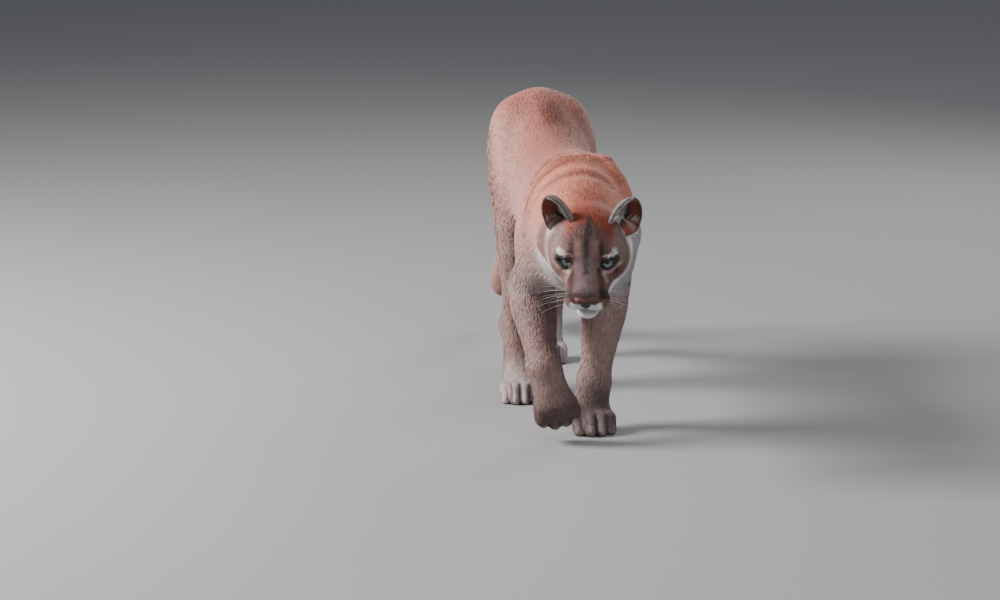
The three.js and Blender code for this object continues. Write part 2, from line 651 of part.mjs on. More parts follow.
const upperLegs = [
  {
    leg: foreLeft,
    inner: [[50, 0, 560], [-1, 0, 0.17]],
    others: [SHOULDER_FRONT, [[0, 122, 450], [0, 1, -0.1]], [[0, 0, 572], [0, 0, 1]]],
    end: ELBOW_CUT,
  },
  {
    leg: foreRight,
    inner: [[-62, 0, 560], [1, 0, 0.07]],
    others: [SHOULDER_FRONT, [[0, 100, 450], [0, 1, -0.1]], [[0, 0, 566], [0, 0, 1]]],
    end: ELBOW_CUT,
  },
  {
    leg: hindLeft,
    inner: [[54, 0, 600], [-1, 0, 0.21]],
    others: [[[0, 456, 560], [0, -1, -0.05]], THIGH_BACK, THIGH_TOP],
    end: [[98, 560, 306], [0, 0.35, -1]],
  },
  {
    leg: hindRight,
    inner: [[-56, 0, 600], [1, 0, 0.18]],
    others: [[[0, 450, 560], [0, -1, 0.55]], THIGH_BACK, THIGH_TOP],
    end: [[-92, 410, 350], [0, 0, -1]],
  },
];
let trunkSolid = trunkMesh;
for (const { inner, others } of upperLegs)
  trunkSolid = trunkSolid.subtract(room([inner, ...others], CUT_GAP));
const slab = (made, from, to) => {
  const started = from ? made.intersect(beyond(...from, CUT_GAP / 2)) : made;
  return to ? started.intersect(before(...to, CUT_GAP / 2)) : started;
};
const backwards = ([point, way]) => [point, opposite(way)];
piece("neck", slab(trunkSolid, SHOULDER_FRONT, NAPE), RUFOUS);
piece("chest", slab(trunkSolid, backwards(SHOULDER_FRONT), LOIN_CUT), TAWNY);
piece("belly", slab(trunkSolid, LOIN_CUT, RUMP_CUT), TAWNY);
piece("rump", slab(trunkSolid, RUMP_CUT, TAIL_ROOT), TAWNY);

const tailMesh = surface(spine, WORLD, [spaced(-92, 18, 72), spaced(670, 23, 1142), spaced(75, 23, 690)]);
piece("tail_root", slab(tailMesh, TAIL_ROOT, TAIL_CUTS[0]), TAWNY);
piece("tail_middle", slab(tailMesh, ...TAIL_CUTS), TAWNY);
piece("tail_tip", slab(tailMesh, TAIL_CUTS[1]), TAWNY);

const FLOOR = [[0, 0, 0], [0, 0, 1]];
for (const { leg, inner, others, end } of upperLegs) {
  const fore = leg.sole === FORE_SOLE;
  const field = (x, y, z) => blended(LEG_FILLET, spine(x, y, z), leg.field(x, y, z));
  const around = (axis, step) => {
    const values = leg.lower.map((p) => p[axis]);
    return spaced(Math.min(...values) - 62, step, Math.max(...values) + 62);
  };
  const lower = surface(field, WORLD, [around(0, 17), around(1, 19), around(2, fore ? 29 : 24)]);
  const pawCut = [mix(leg.ball, leg.wrist, 0.42), sub(leg.ball, leg.wrist)];
  const PAW_LINES = [spaced(-66, 11.9, 66), spaced(-78, 12, 76), spaced(-48, 11.9, 86)];
  const pawMesh = surface(leg.field, leg.pawAt, PAW_LINES).intersect(beyond(...FLOOR));
  const [upperName, lowerName] = fore ? ["shoulder", "forearm"] : ["thigh", "shank"];
  piece(`${leg.name}_${upperName}`, slab(trunkMesh.intersect(room([inner, ...others])), null, end), PALE);
  piece(`${leg.name}_${lowerName}`, slab(lower, end, pawCut), PALE);
  piece(`${leg.name}_paw`, slab(pawMesh, pawCut), PALE);
}

group.add(...pieces);
const bounds = new THREE.Box3().setFromObject(group);
group.position.set(-(bounds.min.x + bounds.max.x) / 2, -(bounds.min.y + bounds.max.y) / 2, 0);
export default group;
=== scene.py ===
import math

import bpy
import numpy as np
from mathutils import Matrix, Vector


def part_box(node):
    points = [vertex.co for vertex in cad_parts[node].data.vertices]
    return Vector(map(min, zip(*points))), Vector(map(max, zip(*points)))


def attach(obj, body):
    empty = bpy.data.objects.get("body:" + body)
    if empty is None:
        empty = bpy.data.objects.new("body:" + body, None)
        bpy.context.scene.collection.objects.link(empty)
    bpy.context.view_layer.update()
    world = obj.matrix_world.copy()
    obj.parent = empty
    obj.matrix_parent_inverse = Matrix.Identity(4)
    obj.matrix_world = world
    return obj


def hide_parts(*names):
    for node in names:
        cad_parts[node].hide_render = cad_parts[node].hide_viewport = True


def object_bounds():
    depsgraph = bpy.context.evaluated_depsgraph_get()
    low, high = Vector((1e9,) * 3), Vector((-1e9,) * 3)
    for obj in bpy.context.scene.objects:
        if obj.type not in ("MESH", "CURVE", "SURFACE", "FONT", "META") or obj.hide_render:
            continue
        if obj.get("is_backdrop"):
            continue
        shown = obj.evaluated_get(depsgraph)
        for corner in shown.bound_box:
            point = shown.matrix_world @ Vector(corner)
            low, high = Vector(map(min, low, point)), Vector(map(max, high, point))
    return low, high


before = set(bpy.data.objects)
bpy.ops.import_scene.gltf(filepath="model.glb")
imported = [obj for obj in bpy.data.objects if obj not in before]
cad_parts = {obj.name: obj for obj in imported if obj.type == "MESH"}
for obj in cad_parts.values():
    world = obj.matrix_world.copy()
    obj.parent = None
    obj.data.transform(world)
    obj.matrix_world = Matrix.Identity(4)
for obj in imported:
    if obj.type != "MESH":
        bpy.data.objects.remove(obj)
cad_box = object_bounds()

# The whole animal: a walking cougar at life size, as a taxidermist's still model. Its shape is laid out in
# millimetres from the floor under the withers, with x to its left, y to its rear and z up, and every mesh
# is moved from there to the frame's own origin under the middle of the animal.
HEAD_PITCH = math.radians(32)
HEAD_YAW = math.radians(16)
HEAD_AT = np.array([-32.0, -298.0, 440.0])
HEAD_BACK = np.array([math.sin(HEAD_YAW) * math.cos(HEAD_PITCH), math.cos(HEAD_YAW) * math.cos(HEAD_PITCH),
                      math.sin(HEAD_PITCH)])
HEAD_LEFT = np.array([math.cos(HEAD_YAW), -math.sin(HEAD_YAW), 0.0])
HEAD_AXES = np.array([HEAD_LEFT, HEAD_BACK, np.cross(HEAD_LEFT, HEAD_BACK)])
SOLID_EYE = np.array([39.0, 33.0, 17.0])
EYE = np.array([38.0, 33.5, 14.5])
EYE_RADIUS = 17.0


def aside(forward):
    """How far the face's middle line strays from straight: most at the eyes, none at nose and ears."""
    return -3.0 * np.exp(-(((forward - 45) / 42) ** 2))


def in_head(left, forward, up):
    """A place in the head, from the head's middle as far left, forward and up, as a place of the animal."""
    return HEAD_AT + (left + aside(forward)) * HEAD_AXES[0] - forward * HEAD_AXES[1] + up * HEAD_AXES[2]


def of_head(places):
    """How far left, forward and up from the head's middle each place is."""
    h = (places - HEAD_AT) @ HEAD_AXES.T * [1, -1, 1]
    h[:, 0] -= aside(h[:, 1])
    return h


def folded(places):
    """The same, with the right folded onto the left, because the head's two halves are mirrored."""
    h = of_head(places)
    h[:, 0] = np.abs(h[:, 0])
    return h


def head_way(ways):
    """Directions in the head, as far left, forward and up, as directions of the animal."""
    return ways * [1, -1, 1] @ HEAD_AXES


def middle_of(node):
    """The middle of a node's box, in metres."""
    low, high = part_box(node)
    return (np.array(low) + np.array(high)) / 2


SHIFT = middle_of("eye_left") - (HEAD_AT + head_way(SOLID_EYE)) / 1000
SHIFT[2] = 0.0
COAT_COLOUR = "coat_colour"


def placed(name, data):
    """An object of its own in the scene."""
    made = bpy.data.objects.new(name, data)
    bpy.context.scene.collection.objects.link(made)
    return made


def mesh_piece(name, places, faces, material, slot, colour=None):
    """A piece from places in the animal's millimetres and faces that all have as many corners.

    Its own colour, one for all of it or one for each place, is kept with its points.
    """
    mesh = bpy.data.meshes.new(name)
    mesh.vertices.add(len(places))
    mesh.vertices.foreach_set("co", (places / 1000 + SHIFT).astype(np.float32).ravel())
    mesh.loops.add(faces.size)
    mesh.loops.foreach_set("vertex_index", faces.astype(np.int32).ravel())
    mesh.polygons.add(len(faces))
    mesh.polygons.foreach_set("loop_start", np.arange(0, faces.size, faces.shape[1], dtype=np.int32))
    mesh.polygons.foreach_set("use_smooth", np.full(len(faces), True))
    mesh.update(calc_edges=True)
    mesh.materials.append(material)
    made = placed(name, mesh)
    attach(made, "root")
    if colour is not None:
        values = np.ones((len(places), 4), np.float32)
        values[:, :3] = colour
        layer = mesh.color_attributes.new(COAT_COLOUR, "FLOAT_COLOR", "POINT")
        layer.data.foreach_set("color", values.ravel())
    return made


# Bones and muscles: the forms under the coat, which decide the animal's shape. Each is an oval section
# carried from joint to joint, or an egg, and all are joined with soft fillets as skin drapes over flesh.
HIP_BACK, HIP_HEIGHT, HIP_SPREAD = 560.0, 560.0, 80.0
FORE_PAW_WIDTH, HIND_PAW_WIDTH = 98.0, 88.0
FORE_SOLE, HIND_SOLE = 30.0, 29.0
FLOOR_TRIM = 2.5
TRUNK = np.array([
    [-290, -36, 508, 392, 450, 68],
    [-235, -34, 534, 376, 454, 84],
    [-165, -28, 562, 352, 456, 98],
    [-95, -20, 583, 334, 454, 106],
    [-30, -13, 600, 322, 450, 110],
    [40, -8, 604, 318, 448, 112],
    [120, -3, 592, 322, 448, 113],
    [210, 0, 585, 334, 452, 112],
    [300, 0, 592, 350, 460, 107],
    [390, 0, 612, 372, 482, 101],
    [470, 0, 644, 396, 512, 101],
    [545, 0, 668, 424, 545, 106],
    [610, 0, 669, 450, 560, 102],
    [665, 0, 645, 486, 566, 82],
], float)
TAIL = np.array([
    [0, 650, 606],
    [-1, 735, 556],
    [-5, 798, 450],
    [-16, 842, 330],
    [-28, 888, 216],
    [-31, 958, 143],
    [-14, 1038, 124],
    [16, 1098, 142],
], float)
TAIL_RADII = [44, 37, 34, 32, 31, 31, 30, 25]
WORLD_AXES = np.eye(3)


def box_around(points, margin):
    """The lowest and highest corner of points, with a margin."""
    points = np.asarray(points)
    return points.min(0) - margin, points.max(0) + margin


def unit(way):
    """The direction of a vector, or of each row of vectors, one long."""
    return way / np.maximum(np.linalg.norm(way, axis=-1, keepdims=True), 1e-12)


def egg_distance(u, v, w, ru, rv, rw):
    """Roughly the distance from an egg: the point's length in radii, less one, over how fast that grows."""
    k0 = np.sqrt((u / ru) ** 2 + (v / rv) ** 2 + (w / rw) ** 2)
    k1 = np.sqrt((u / ru**2) ** 2 + (v / rv**2) ** 2 + (w / rw**2) ** 2)
    return k0 * (k0 - 1) / np.maximum(k1, 1e-9)


def egg(places, centre, radii, axes=WORLD_AXES):
    """Roughly the distance of each place from an ellipsoid with its radii along three axes."""
    u, v, w = axes @ (places - centre).T
    return egg_distance(u, v, w, *radii)


def smooth_values(rows, t):
    """Smooth curves through each row of values at equal steps, read at shares t of their length."""
    rows = np.asarray(rows, float)
    last = rows.shape[1] - 1
    at = t * last
    i = np.minimum(at.astype(int), last - 1)
    f = at - i
    ends = np.pad(rows, ((0, 0), (1, 1)), mode="edge")
    a, b, c, d = (ends[:, n:n + last][:, i] for n in range(4))
    return b + 0.5 * f * (c - a + f * (2 * a - 5 * b + 4 * c - d + f * (3 * (b - c) + d - a)))


def muscle(places, a, b, widths, depths, side=WORLD_AXES[0]):
    """Roughly the distance from an oval section carried from a to b, with round ends."""
    a, b = np.asarray(a, float), np.asarray(b, float)
    length = np.linalg.norm(b - a)
    axis = unit(b - a)
    across = unit(side - axis * (side @ axis))
    along, q, r = np.array([axis, across, np.cross(axis, across)]) @ (places - a).T
    t = np.clip(along / length, 0, 1)
    w, d = smooth_values([widths, depths], t)
    return egg_distance(along - t * length, q, r, np.minimum(w, d), w, d)


def trunk_distance(places, nose=40.0, rear=36.0):
    """Roughly the distance from the trunk: an oval section carried along y through the rows of TRUNK."""
    x, y, z = places.T
    rows = TRUNK
    stations = rows[:, 0]
    ends = np.concatenate([rows[:1], rows, rows[-1:]])
    slopes = (ends[2:] - ends[:-2]) / (ends[2:, :1] - ends[:-2, :1])
    at = np.clip(y, stations[0], stations[-1])
    k = np.clip(np.searchsorted(stations, at, side="right") - 1, 0, len(rows) - 2)
    span = stations[k + 1] - stations[k]
    f = ((at - stations[k]) / span)[:, None]
    span = span[:, None]
    value = (rows[k] * (1 + f * f * (2 * f - 3)) + rows[k + 1] * f * f * (3 - 2 * f)
             + slopes[k] * span * f * (1 - f) ** 2 - slopes[k + 1] * span * f * f * (1 - f))
    middle, top, bottom, widest, half = value[:, 1:].T
    height = np.where(z > widest, top - widest, widest - bottom)
    return egg_distance(y - at, x - middle, z - widest, np.where(y < stations[0], nose, rear), half, height)


def joined(k, *distances):
    """The nearest of several shapes, with a fillet about as wide as k where they meet."""
    d = distances[0]
    for e in distances[1:]:
        h = np.maximum(k - np.abs(d - e), 0) / k
        d = np.minimum(d, e) - h * h * k / 4
    return d


def carved(k, shape, hollow):
    """The first shape with the second taken out and the edge rounded over about k."""
    h = np.maximum(k - np.abs(shape + hollow), 0) / k
    return np.maximum(shape, -hollow) + h * h * k / 4


class Paw:
    """A paw's frame at its knuckles: across it, forward along the toes and up out of its back."""

    def __init__(self, ball, toe_way, back_way, width, sole):
        self.ball = np.array(ball, float)
        forward = unit(np.array(toe_way, float))
        across = unit(np.cross(forward, back_way))
        self.axes = np.array([across, forward, np.cross(across, forward)])
        self.width, self.sole = width, sole
        self.toe = width * 0.145
        self.spread = width / 2 - self.toe

    def at(self, across, forward, up):
        """A place in the paw as a place of the animal."""
        return self.ball + np.array([across, forward, up]) @ self.axes

    def toes(self):
        """Back, knuckle and tip of each of the four toes."""
        for s in (-1, -0.35, 0.35, 1):
            reach = 56 - 13 * s * s
            yield (self.at(s * self.spread * 0.86, 0, 6 - 3 * s * s),
                   self.at(s * self.spread * 0.98, reach - 22, 7 - 3 * s * s),
                   self.at(s * self.spread, reach - 4, -self.sole + self.toe * 0.86))

    def distance(self, places):
        """Roughly the distance from four toes in two joints each, with the pad's bulk beneath."""
        r = self.toe
        shapes = []
        for back, knuckle, tip in self.toes():
            upper = muscle(places, back, knuckle, [r, r * 1.1], [r, r * 1.1], self.axes[0])
            lower = muscle(places, knuckle, tip, [r * 1.1, r * 0.95], [r * 1.05, r * 0.9], self.axes[0])
            shapes.append(joined(6, upper, lower))
        bulk = [self.width * 0.36, 34, self.sole * 0.55]
        heel = egg(places, self.at(0, 2, -self.sole * 0.5), bulk, self.axes)
        return joined(5, *shapes, heel)


def foreleg(places, j):
    """Roughly the distance from a foreleg: blade, upper arm, triceps, forearm, wrist and paw."""
    out = np.array([j["side"], 0.0, 0.0])
    blade, shoulder, elbow, wrist = j["line"][:4]
    triceps = blade * 0.25 + (shoulder + [j["side"] * 6, 150, 30]) * 0.75
    paw = j["paw"]
    return joined(
        20,
        muscle(places, blade, shoulder, [24, 38, 42, 38], [38, 62, 62, 50], out),
        muscle(places, shoulder, elbow, [39, 44, 45, 44], [50, 56, 52, 44], out),
        muscle(places, triceps, elbow + [0, 32, 22], [26, 38, 36, 28], [32, 50, 44, 28], out),
        muscle(places, elbow, wrist, [47, 51, 44, 37, 35], [44, 45, 38, 32, 29], out),
        muscle(places, wrist, paw.at(0, 0, 2), [36, 38, 42], [28, 26, 23], paw.axes[0]),
        paw.distance(places),
    )


def hindleg(places, j):
    """Roughly the distance from a hind leg: haunch, thigh, seat, shank, calf, heel, hock and paw."""
    s = j["side"]
    out = np.array([s, 0.0, 0.0])
    hip, knee, hock = j["line"][:3]
    seat = [s * 54, HIP_BACK + 86, HIP_HEIGHT - 20]
    calf = knee * 0.88 + hock * 0.12 + [0, 46, 10]
    heel = hock + j["heel_way"]
    paw = j["paw"]
    return joined(
        20,
        egg(places, [s * 66, HIP_BACK + 2, HIP_HEIGHT - 6], [52, 104, 92]),
        muscle(places, hip, knee, [42, 48, 46, 42], [94, 90, 74, 50], out),
        muscle(places, seat, calf, [36, 40, 36, 30], [44, 52, 48, 36], out),
        muscle(places, knee, hock, [41, 40, 31, 25, 23], [50, 50, 36, 27, 25], out),
        muscle(places, calf, calf * 0.38 + heel * 0.62, [28, 24, 12], [34, 28, 12], out),
        muscle(places, (calf + heel) / 2, heel, [11, 10, 16], [12, 10, 17], out),
        egg(places, hock * 0.7 + heel * 0.3, [25, 28, 28]),
        muscle(places, hock, paw.at(0, 0, 2), [26, 26, 31, 38], [27, 23, 22, 22], paw.axes[0]),
        paw.distance(places),
    )


def leg(name, shape, side, line, toe_way, back_way, width, sole, heel_way=(0, 0, 0)):
    """A leg's joints from the top down, with its paw."""
    paw = Paw(line[-1], toe_way, back_way, width, sole)
    return {"name": name, "shape": shape, "side": side, "line": np.array(line, float), "paw": paw,
            "heel_way": np.array(heel_way, float)}


HIP = [HIP_SPREAD, HIP_BACK, HIP_HEIGHT - 20]
LEGS = [
    leg("left_fore", foreleg, 1,
        [[50, 22, 566], [73, -62, 440], [66, 46, 316], [34, 32, 100], [23, 2, FORE_SOLE - FLOOR_TRIM]],
        [0.06, -1, 0], [0, 0, 1], FORE_PAW_WIDTH, FORE_SOLE),
    leg("right_fore", foreleg, -1,
        [[-56, -4, 560], [-92, -82, 430], [-108, 12, 322], [-95, -88, 166], [-72, -104, 86]],
        [0.3, 0.12, -1], [-0.1, -1, -0.1], FORE_PAW_WIDTH, FORE_SOLE),
    leg("left_hind", hindleg, 1,
        [HIP, [102, 540, 328], [62, 728, 172], [38, 692, HIND_SOLE - FLOOR_TRIM]],
        [0.02, -1, 0], [0, 0, 1], HIND_PAW_WIDTH, HIND_SOLE, [0, 18, 22]),
    leg("right_hind", hindleg, -1,
        [[-HIP[0], *HIP[1:]], [-84, 408, 384], [-86, 424, 142], [-90, 306, HIND_SOLE - FLOOR_TRIM]],
        [-0.05, -1, 0], [0, 0, 1], HIND_PAW_WIDTH, HIND_SOLE, [0, 22, 16]),
]

# The skull's own forms, left and right alike: brow, cheekbones, jaw and muzzle, with the eyes set in
# hollows behind the lids, the whisker pads either side of the lip's groove, and the line of the mouth.
EYE_AIM = unit(np.array([0.24, 0.86, 0.41]))
LID = 2.6
OPENING = np.array([18.5, 8.8])
OPENING_DROP = 0.9
OPENING_SLANT = math.radians(13)
LIP_LINE = np.array([[42, 40, -36], [37, 64, -46], [24, 92, -49], [9, 113, -45], [0, 118, -42]], float)
PHILTRUM = np.array([[0, 126, -20], [0, 124, -30], [0, 118, -42]], float)


def eye_frame():
    """The left eye's axes in the head: along the opening, across it and out."""
    out = EYE_AIM
    level = unit(np.cross(out, [0, 0, 1]))
    rise = np.cross(level, out)
    along = level * math.cos(OPENING_SLANT) + rise * math.sin(OPENING_SLANT)
    return np.array([along, np.cross(out, along), out])


EYE_AXES = eye_frame()


def head_distance(places):
    """Roughly the distance from the head."""
    h = folded(places)
    skull = joined(
        16,
        egg(h, [0, -26, 14], [60, 78, 56]),
        egg(h, [0, 20, 20], [47, 46, 37]),
        egg(h, [40, 4, -6], [38, 48, 40]),
        egg(h, [43, -34, -24], [38, 48, 48]),
        muscle(h, [38, -18, -46], [15, 80, -54], [28, 22, 16], [28, 22, 18]),
        egg(h, [25, 56, -8], [26, 36, 27]),
        muscle(h, [0, 34, 4], [0, 104, -13], [42, 36, 34], [35, 30, 25]),
    )
    face = joined(
        9,
        skull,
        muscle(h, [0, 36, 28], [0, 108, 0], [20, 18, 15], [14, 13, 11]),
        egg(h, [0, 110, -8], [17, 11, 12]),
        egg(h, [21, 98, -27], [26, 27, 21]),
        egg(h, [0, 92, -60], [24, 26, 16]),
    )
    face = carved(14, face, egg(h, EYE + EYE_AIM * 28, [20, 12, 13]))
    return joined(6, face, np.linalg.norm(h - EYE, axis=1) - (EYE_RADIUS + LID))


def line_distance(places, line):
    """Each place's distance from a line through points, and how far along the line that is, from 0 to 1."""
    starts, ways = line[:-1], np.diff(line, axis=0)
    lengths = np.linalg.norm(ways, axis=1)
    marks = np.concatenate([[0], np.cumsum(lengths)])
    best, along = np.full(len(places), 1e9), np.zeros(len(places))
    for start, way, length, mark in zip(starts, ways, lengths, marks):
        q = places - start
        t = np.clip(q @ way / length**2, 0, 1)
        d = np.linalg.norm(q - t[:, None] * way, axis=1)
        near = d < best
        best = np.where(near, d, best)
        along = np.where(near, (mark + t * length) / marks[-1], along)
    return best, along


def from_lips(h):
    """The distance from the mouth's line and the lip's groove, for places folded in the head."""
    return np.minimum(line_distance(h, LIP_LINE)[0], line_distance(h, PHILTRUM)[0])


# The lie of the coat. It runs back from the nose over the crown and cheeks, back along the neck and body
# and down the legs and tail, short on the face and feet, longer on the throat, belly, haunches and tail.
# Each row is a piece of the coat, a line down the middle of a part of it, the line's reach, and the length
# and depth of the hair there.
SPINE_LINE = np.column_stack([TRUNK[:, 1], TRUNK[:, 0], TRUNK[:, 4]])
COAT_ROWS = [
    ("head", np.array([in_head(0, 112, -20), in_head(0, 60, -10)]), 20, 6.0, 1.3),
    ("head", np.array([in_head(0, 30, 0), in_head(0, -40, 0)]), 38, 9.0, 2.2),
    ("neck", SPINE_LINE[1:4], 80, 16.0, 4.2),
    ("chest", SPINE_LINE[3:8], 90, 17.0, 4.5),
    ("loin", SPINE_LINE[7:], 90, 18.0, 4.8),
    ("tail", TAIL, 32, 17.0, 4.6),
]
for each in LEGS:
    name, joints, paw = each["name"], each["line"], each["paw"]
    fore = each["shape"] is foreleg
    COAT_ROWS += [
        (name, joints[:3] if fore else joints[:2], 45, 15.0, 4.2),
        (name, joints[2:4] if fore else joints[1:3], 34, 11.0, 3.2),
        (name, joints[-2:], 28, 9.0, 2.6),
        (name, np.array([paw.at(0, -4, 0), paw.at(0, 50, -8)]), 22, 7.0, 1.8),
    ]


def coat_rows_at(places):
    """At each place: the coat's length, depth and lie, as five columns.

    A row counts less with the distance from its line, past its reach, so that a part's own coat rules on
    it and fades into its neighbour's. On the head the lie is straight away from the nose.
    """
    columns, total = np.zeros((len(places), 5)), np.zeros((len(places), 1))
    from_nose = unit(places - in_head(0, 126, -16))
    for name, line, reach, length, depth in COAT_ROWS:
        away, _ = line_distance(places, line)
        share = (1 / (1 + (np.maximum(away - reach * 0.5, 0) / reach) ** 2) ** 3)[:, None]
        way = from_nose if name == "head" else np.tile(unit(line[-1] - line[0]), (len(places), 1))
        columns += share * np.column_stack([np.full((len(places), 2), [length, depth]), way])
        total += share
    return columns / total


BODY_LOW, BODY_HIGH = np.array([-190.0, -470, -20]), np.array([160.0, 1160, 720])


def every(*axes):
    """Every combination of one value from each axis, the last axis fastest."""
    return np.stack(np.meshgrid(*axes, indexing="ij"), -1).reshape(-1, len(axes))


class Reading:
    """Columns of values on an even grid around the whole animal, read anywhere between its points."""

    def __init__(self, step):
        self.step = step
        self.counts = np.ceil((BODY_HIGH - BODY_LOW) / step).astype(int) + 1
        self.values = None

    def points(self):
        """The grid's points, the last axis fastest."""
        return BODY_LOW + self.step * every(*map(np.arange, self.counts))

    def at(self, places):
        """The values at each place: the eight around it, weighed by how near they are."""
        q = np.clip((places - BODY_LOW) / self.step, 0, self.counts - 1.001)
        i = q.astype(int)
        f = q - i
        total = 0
        for corner in range(8):
            on = np.array([corner >> 2 & 1, corner >> 1 & 1, corner & 1])
            weight = np.prod(np.where(on, f, 1 - f), axis=1)[:, None]
            n = i + on
            row = (n[:, 0] * self.counts[1] + n[:, 1]) * self.counts[2] + n[:, 2]
            total = total + weight * self.values[row]
        return total


coat_reading = Reading(20.0)
coat_reading.values = coat_rows_at(coat_reading.points())


# The skin: one tanned hide, drawn over the whole body and sewn shut, so that it shows no seam. It lies
# inside the solids by the depth of the coat, with folds at the withers, lids, lips and gaps between toes.
# Each fold is a line over the skin, with how high and how wide the skin swells there.
FOLDS = [
    (np.array([[-130, 10, 430], [-121, -10, 490], [-100, -22, 548], [-52, -32, 594], [-6, -24, 602],
               [42, -22, 595], [84, -56, 548]], float), 7.5, 13),
    (np.array([[-126, -52, 430], [-116, -68, 500], [-74, -88, 570], [-20, -96, 583], [30, -98, 570],
               [70, -108, 540]], float), 6.0, 13),
    (np.array([[-112, -112, 470], [-92, -134, 528], [-34, -146, 564], [20, -150, 560]], float), 4.0, 12),
    (np.array([[-112, 60, 470], [-96, 52, 540], [-60, 50, 580]], float), 3.0, 14),
]
SOLE_LIFT = 1.6
TAIL_STEPS = 3 * (len(TAIL) - 1)
TAIL_POINTS = smooth_values(TAIL.T, np.linspace(0, 1, TAIL_STEPS + 1)).T
TAIL_SIZES = smooth_values([TAIL_RADII], np.linspace(0, 1, TAIL_STEPS + 1))[0]
FAR = 80.0


def within(places, points, margin, distance):
    """A distance read only inside the box around points, and taken to be far outside it."""
    low, high = box_around(points, margin)
    inside = ((places > low) & (places < high)).all(1)
    found = np.full(len(places), FAR)
    if inside.any():
        found[inside] = distance(places[inside])
    return found


def tail_distance(places):
    """Roughly the distance from the tail: round sections carried along its smooth line."""
    links = zip(TAIL_POINTS, TAIL_POINTS[1:], TAIL_SIZES, TAIL_SIZES[1:])
    return joined(5, *[muscle(places, a, b, [r, q], [r, q]) for a, b, r, q in links])


def body_distance(places):
    """Roughly the distance from the animal, out to the coat's tips. Legs blend with the trunk only."""
    head = within(places, [in_head(0, 0, 0)], 260, head_distance)
    tail = within(places, TAIL, 110, tail_distance)
    breast = egg(places, [-22, -98, 402], [76, 58, 74])
    spine = joined(26, joined(34, trunk_distance(places), breast, head), tail)
    body = spine
    for each in LEGS:
        d = within(places, each["line"], 165, lambda inside: each["shape"](inside, each))
        body = np.minimum(body, joined(30, spine, d))
    return body


def almond(h):
    """Roughly the distance from the plug between the lids, for places given in the head and folded left."""
    along, down, out = EYE_AXES @ (h - EYE - EYE_AIM * 14).T
    return egg_distance(along, down - OPENING_DROP, out, OPENING[0], OPENING[1], 12.0)


def slope_of(distance, places, step=0.3):
    """How fast a distance grows along x, y and z at each place."""
    here = distance(places)
    rise = [distance(places + step * axis) - here for axis in WORLD_AXES]
    return here, np.stack(rise, 1) / step


def settled(distance, places):
    """The places, moved onto the surface where the distance is zero, along its slope."""
    here, slope = slope_of(distance, places)
    steep = np.maximum((slope**2).sum(1), 0.2)
    for _ in range(2):
        places = places - np.clip(here / steep, -2, 2)[:, None] * slope
        here = distance(places)
    return places - np.clip(here / steep, -1, 1)[:, None] * slope


def on_flesh(line):
    """A line in the head, moved onto the flesh."""
    places = HEAD_AT + head_way(line + np.outer(aside(line[:, 1]), WORLD_AXES[0]))
    for _ in range(3):
        places = settled(body_distance, places)
    return of_head(places)


def swelling(places, line, height, width):
    """How far a fold pushes the skin out, as less distance: most on its line, and nothing at its ends."""
    away, along = line_distance(places, line)
    return -height * np.sqrt(np.sin(np.pi * along)) * np.exp(-((away / width) ** 2))


def skin_distance(places):
    """Roughly the distance from the skin: the body less the coat's depth, folded, and open at the eyes."""
    depth = coat_reading.at(places)[:, 1]
    h = folded(places)
    from_eye = np.linalg.norm(h - EYE, axis=1)
    from_nose = np.linalg.norm(h - [0, 122, -10], axis=1)
    depth = depth * np.clip((from_eye - 17) / 22, 0.12, 1) * np.clip((from_nose - 12) / 22, 0.1, 1)
    d = body_distance(places) + depth
    for fold in FOLDS:
        line, _, width = fold
        swell = within(places, line, 3 * width, lambda inside: swelling(inside, *fold))
        d = d + np.where(swell < FAR, swell, 0)
    d = carved(3, d, within(h, LIP_LINE, 40, from_lips) - 2.2)
    d = np.maximum(d, SOLE_LIFT - places[:, 2])
    return np.maximum(d, -np.minimum(almond(h), from_eye - EYE_RADIUS - 0.3))


LIP_LINE, PHILTRUM = on_flesh(LIP_LINE), on_flesh(PHILTRUM)


COARSE, FINE, FINEST = 4, 2, 1


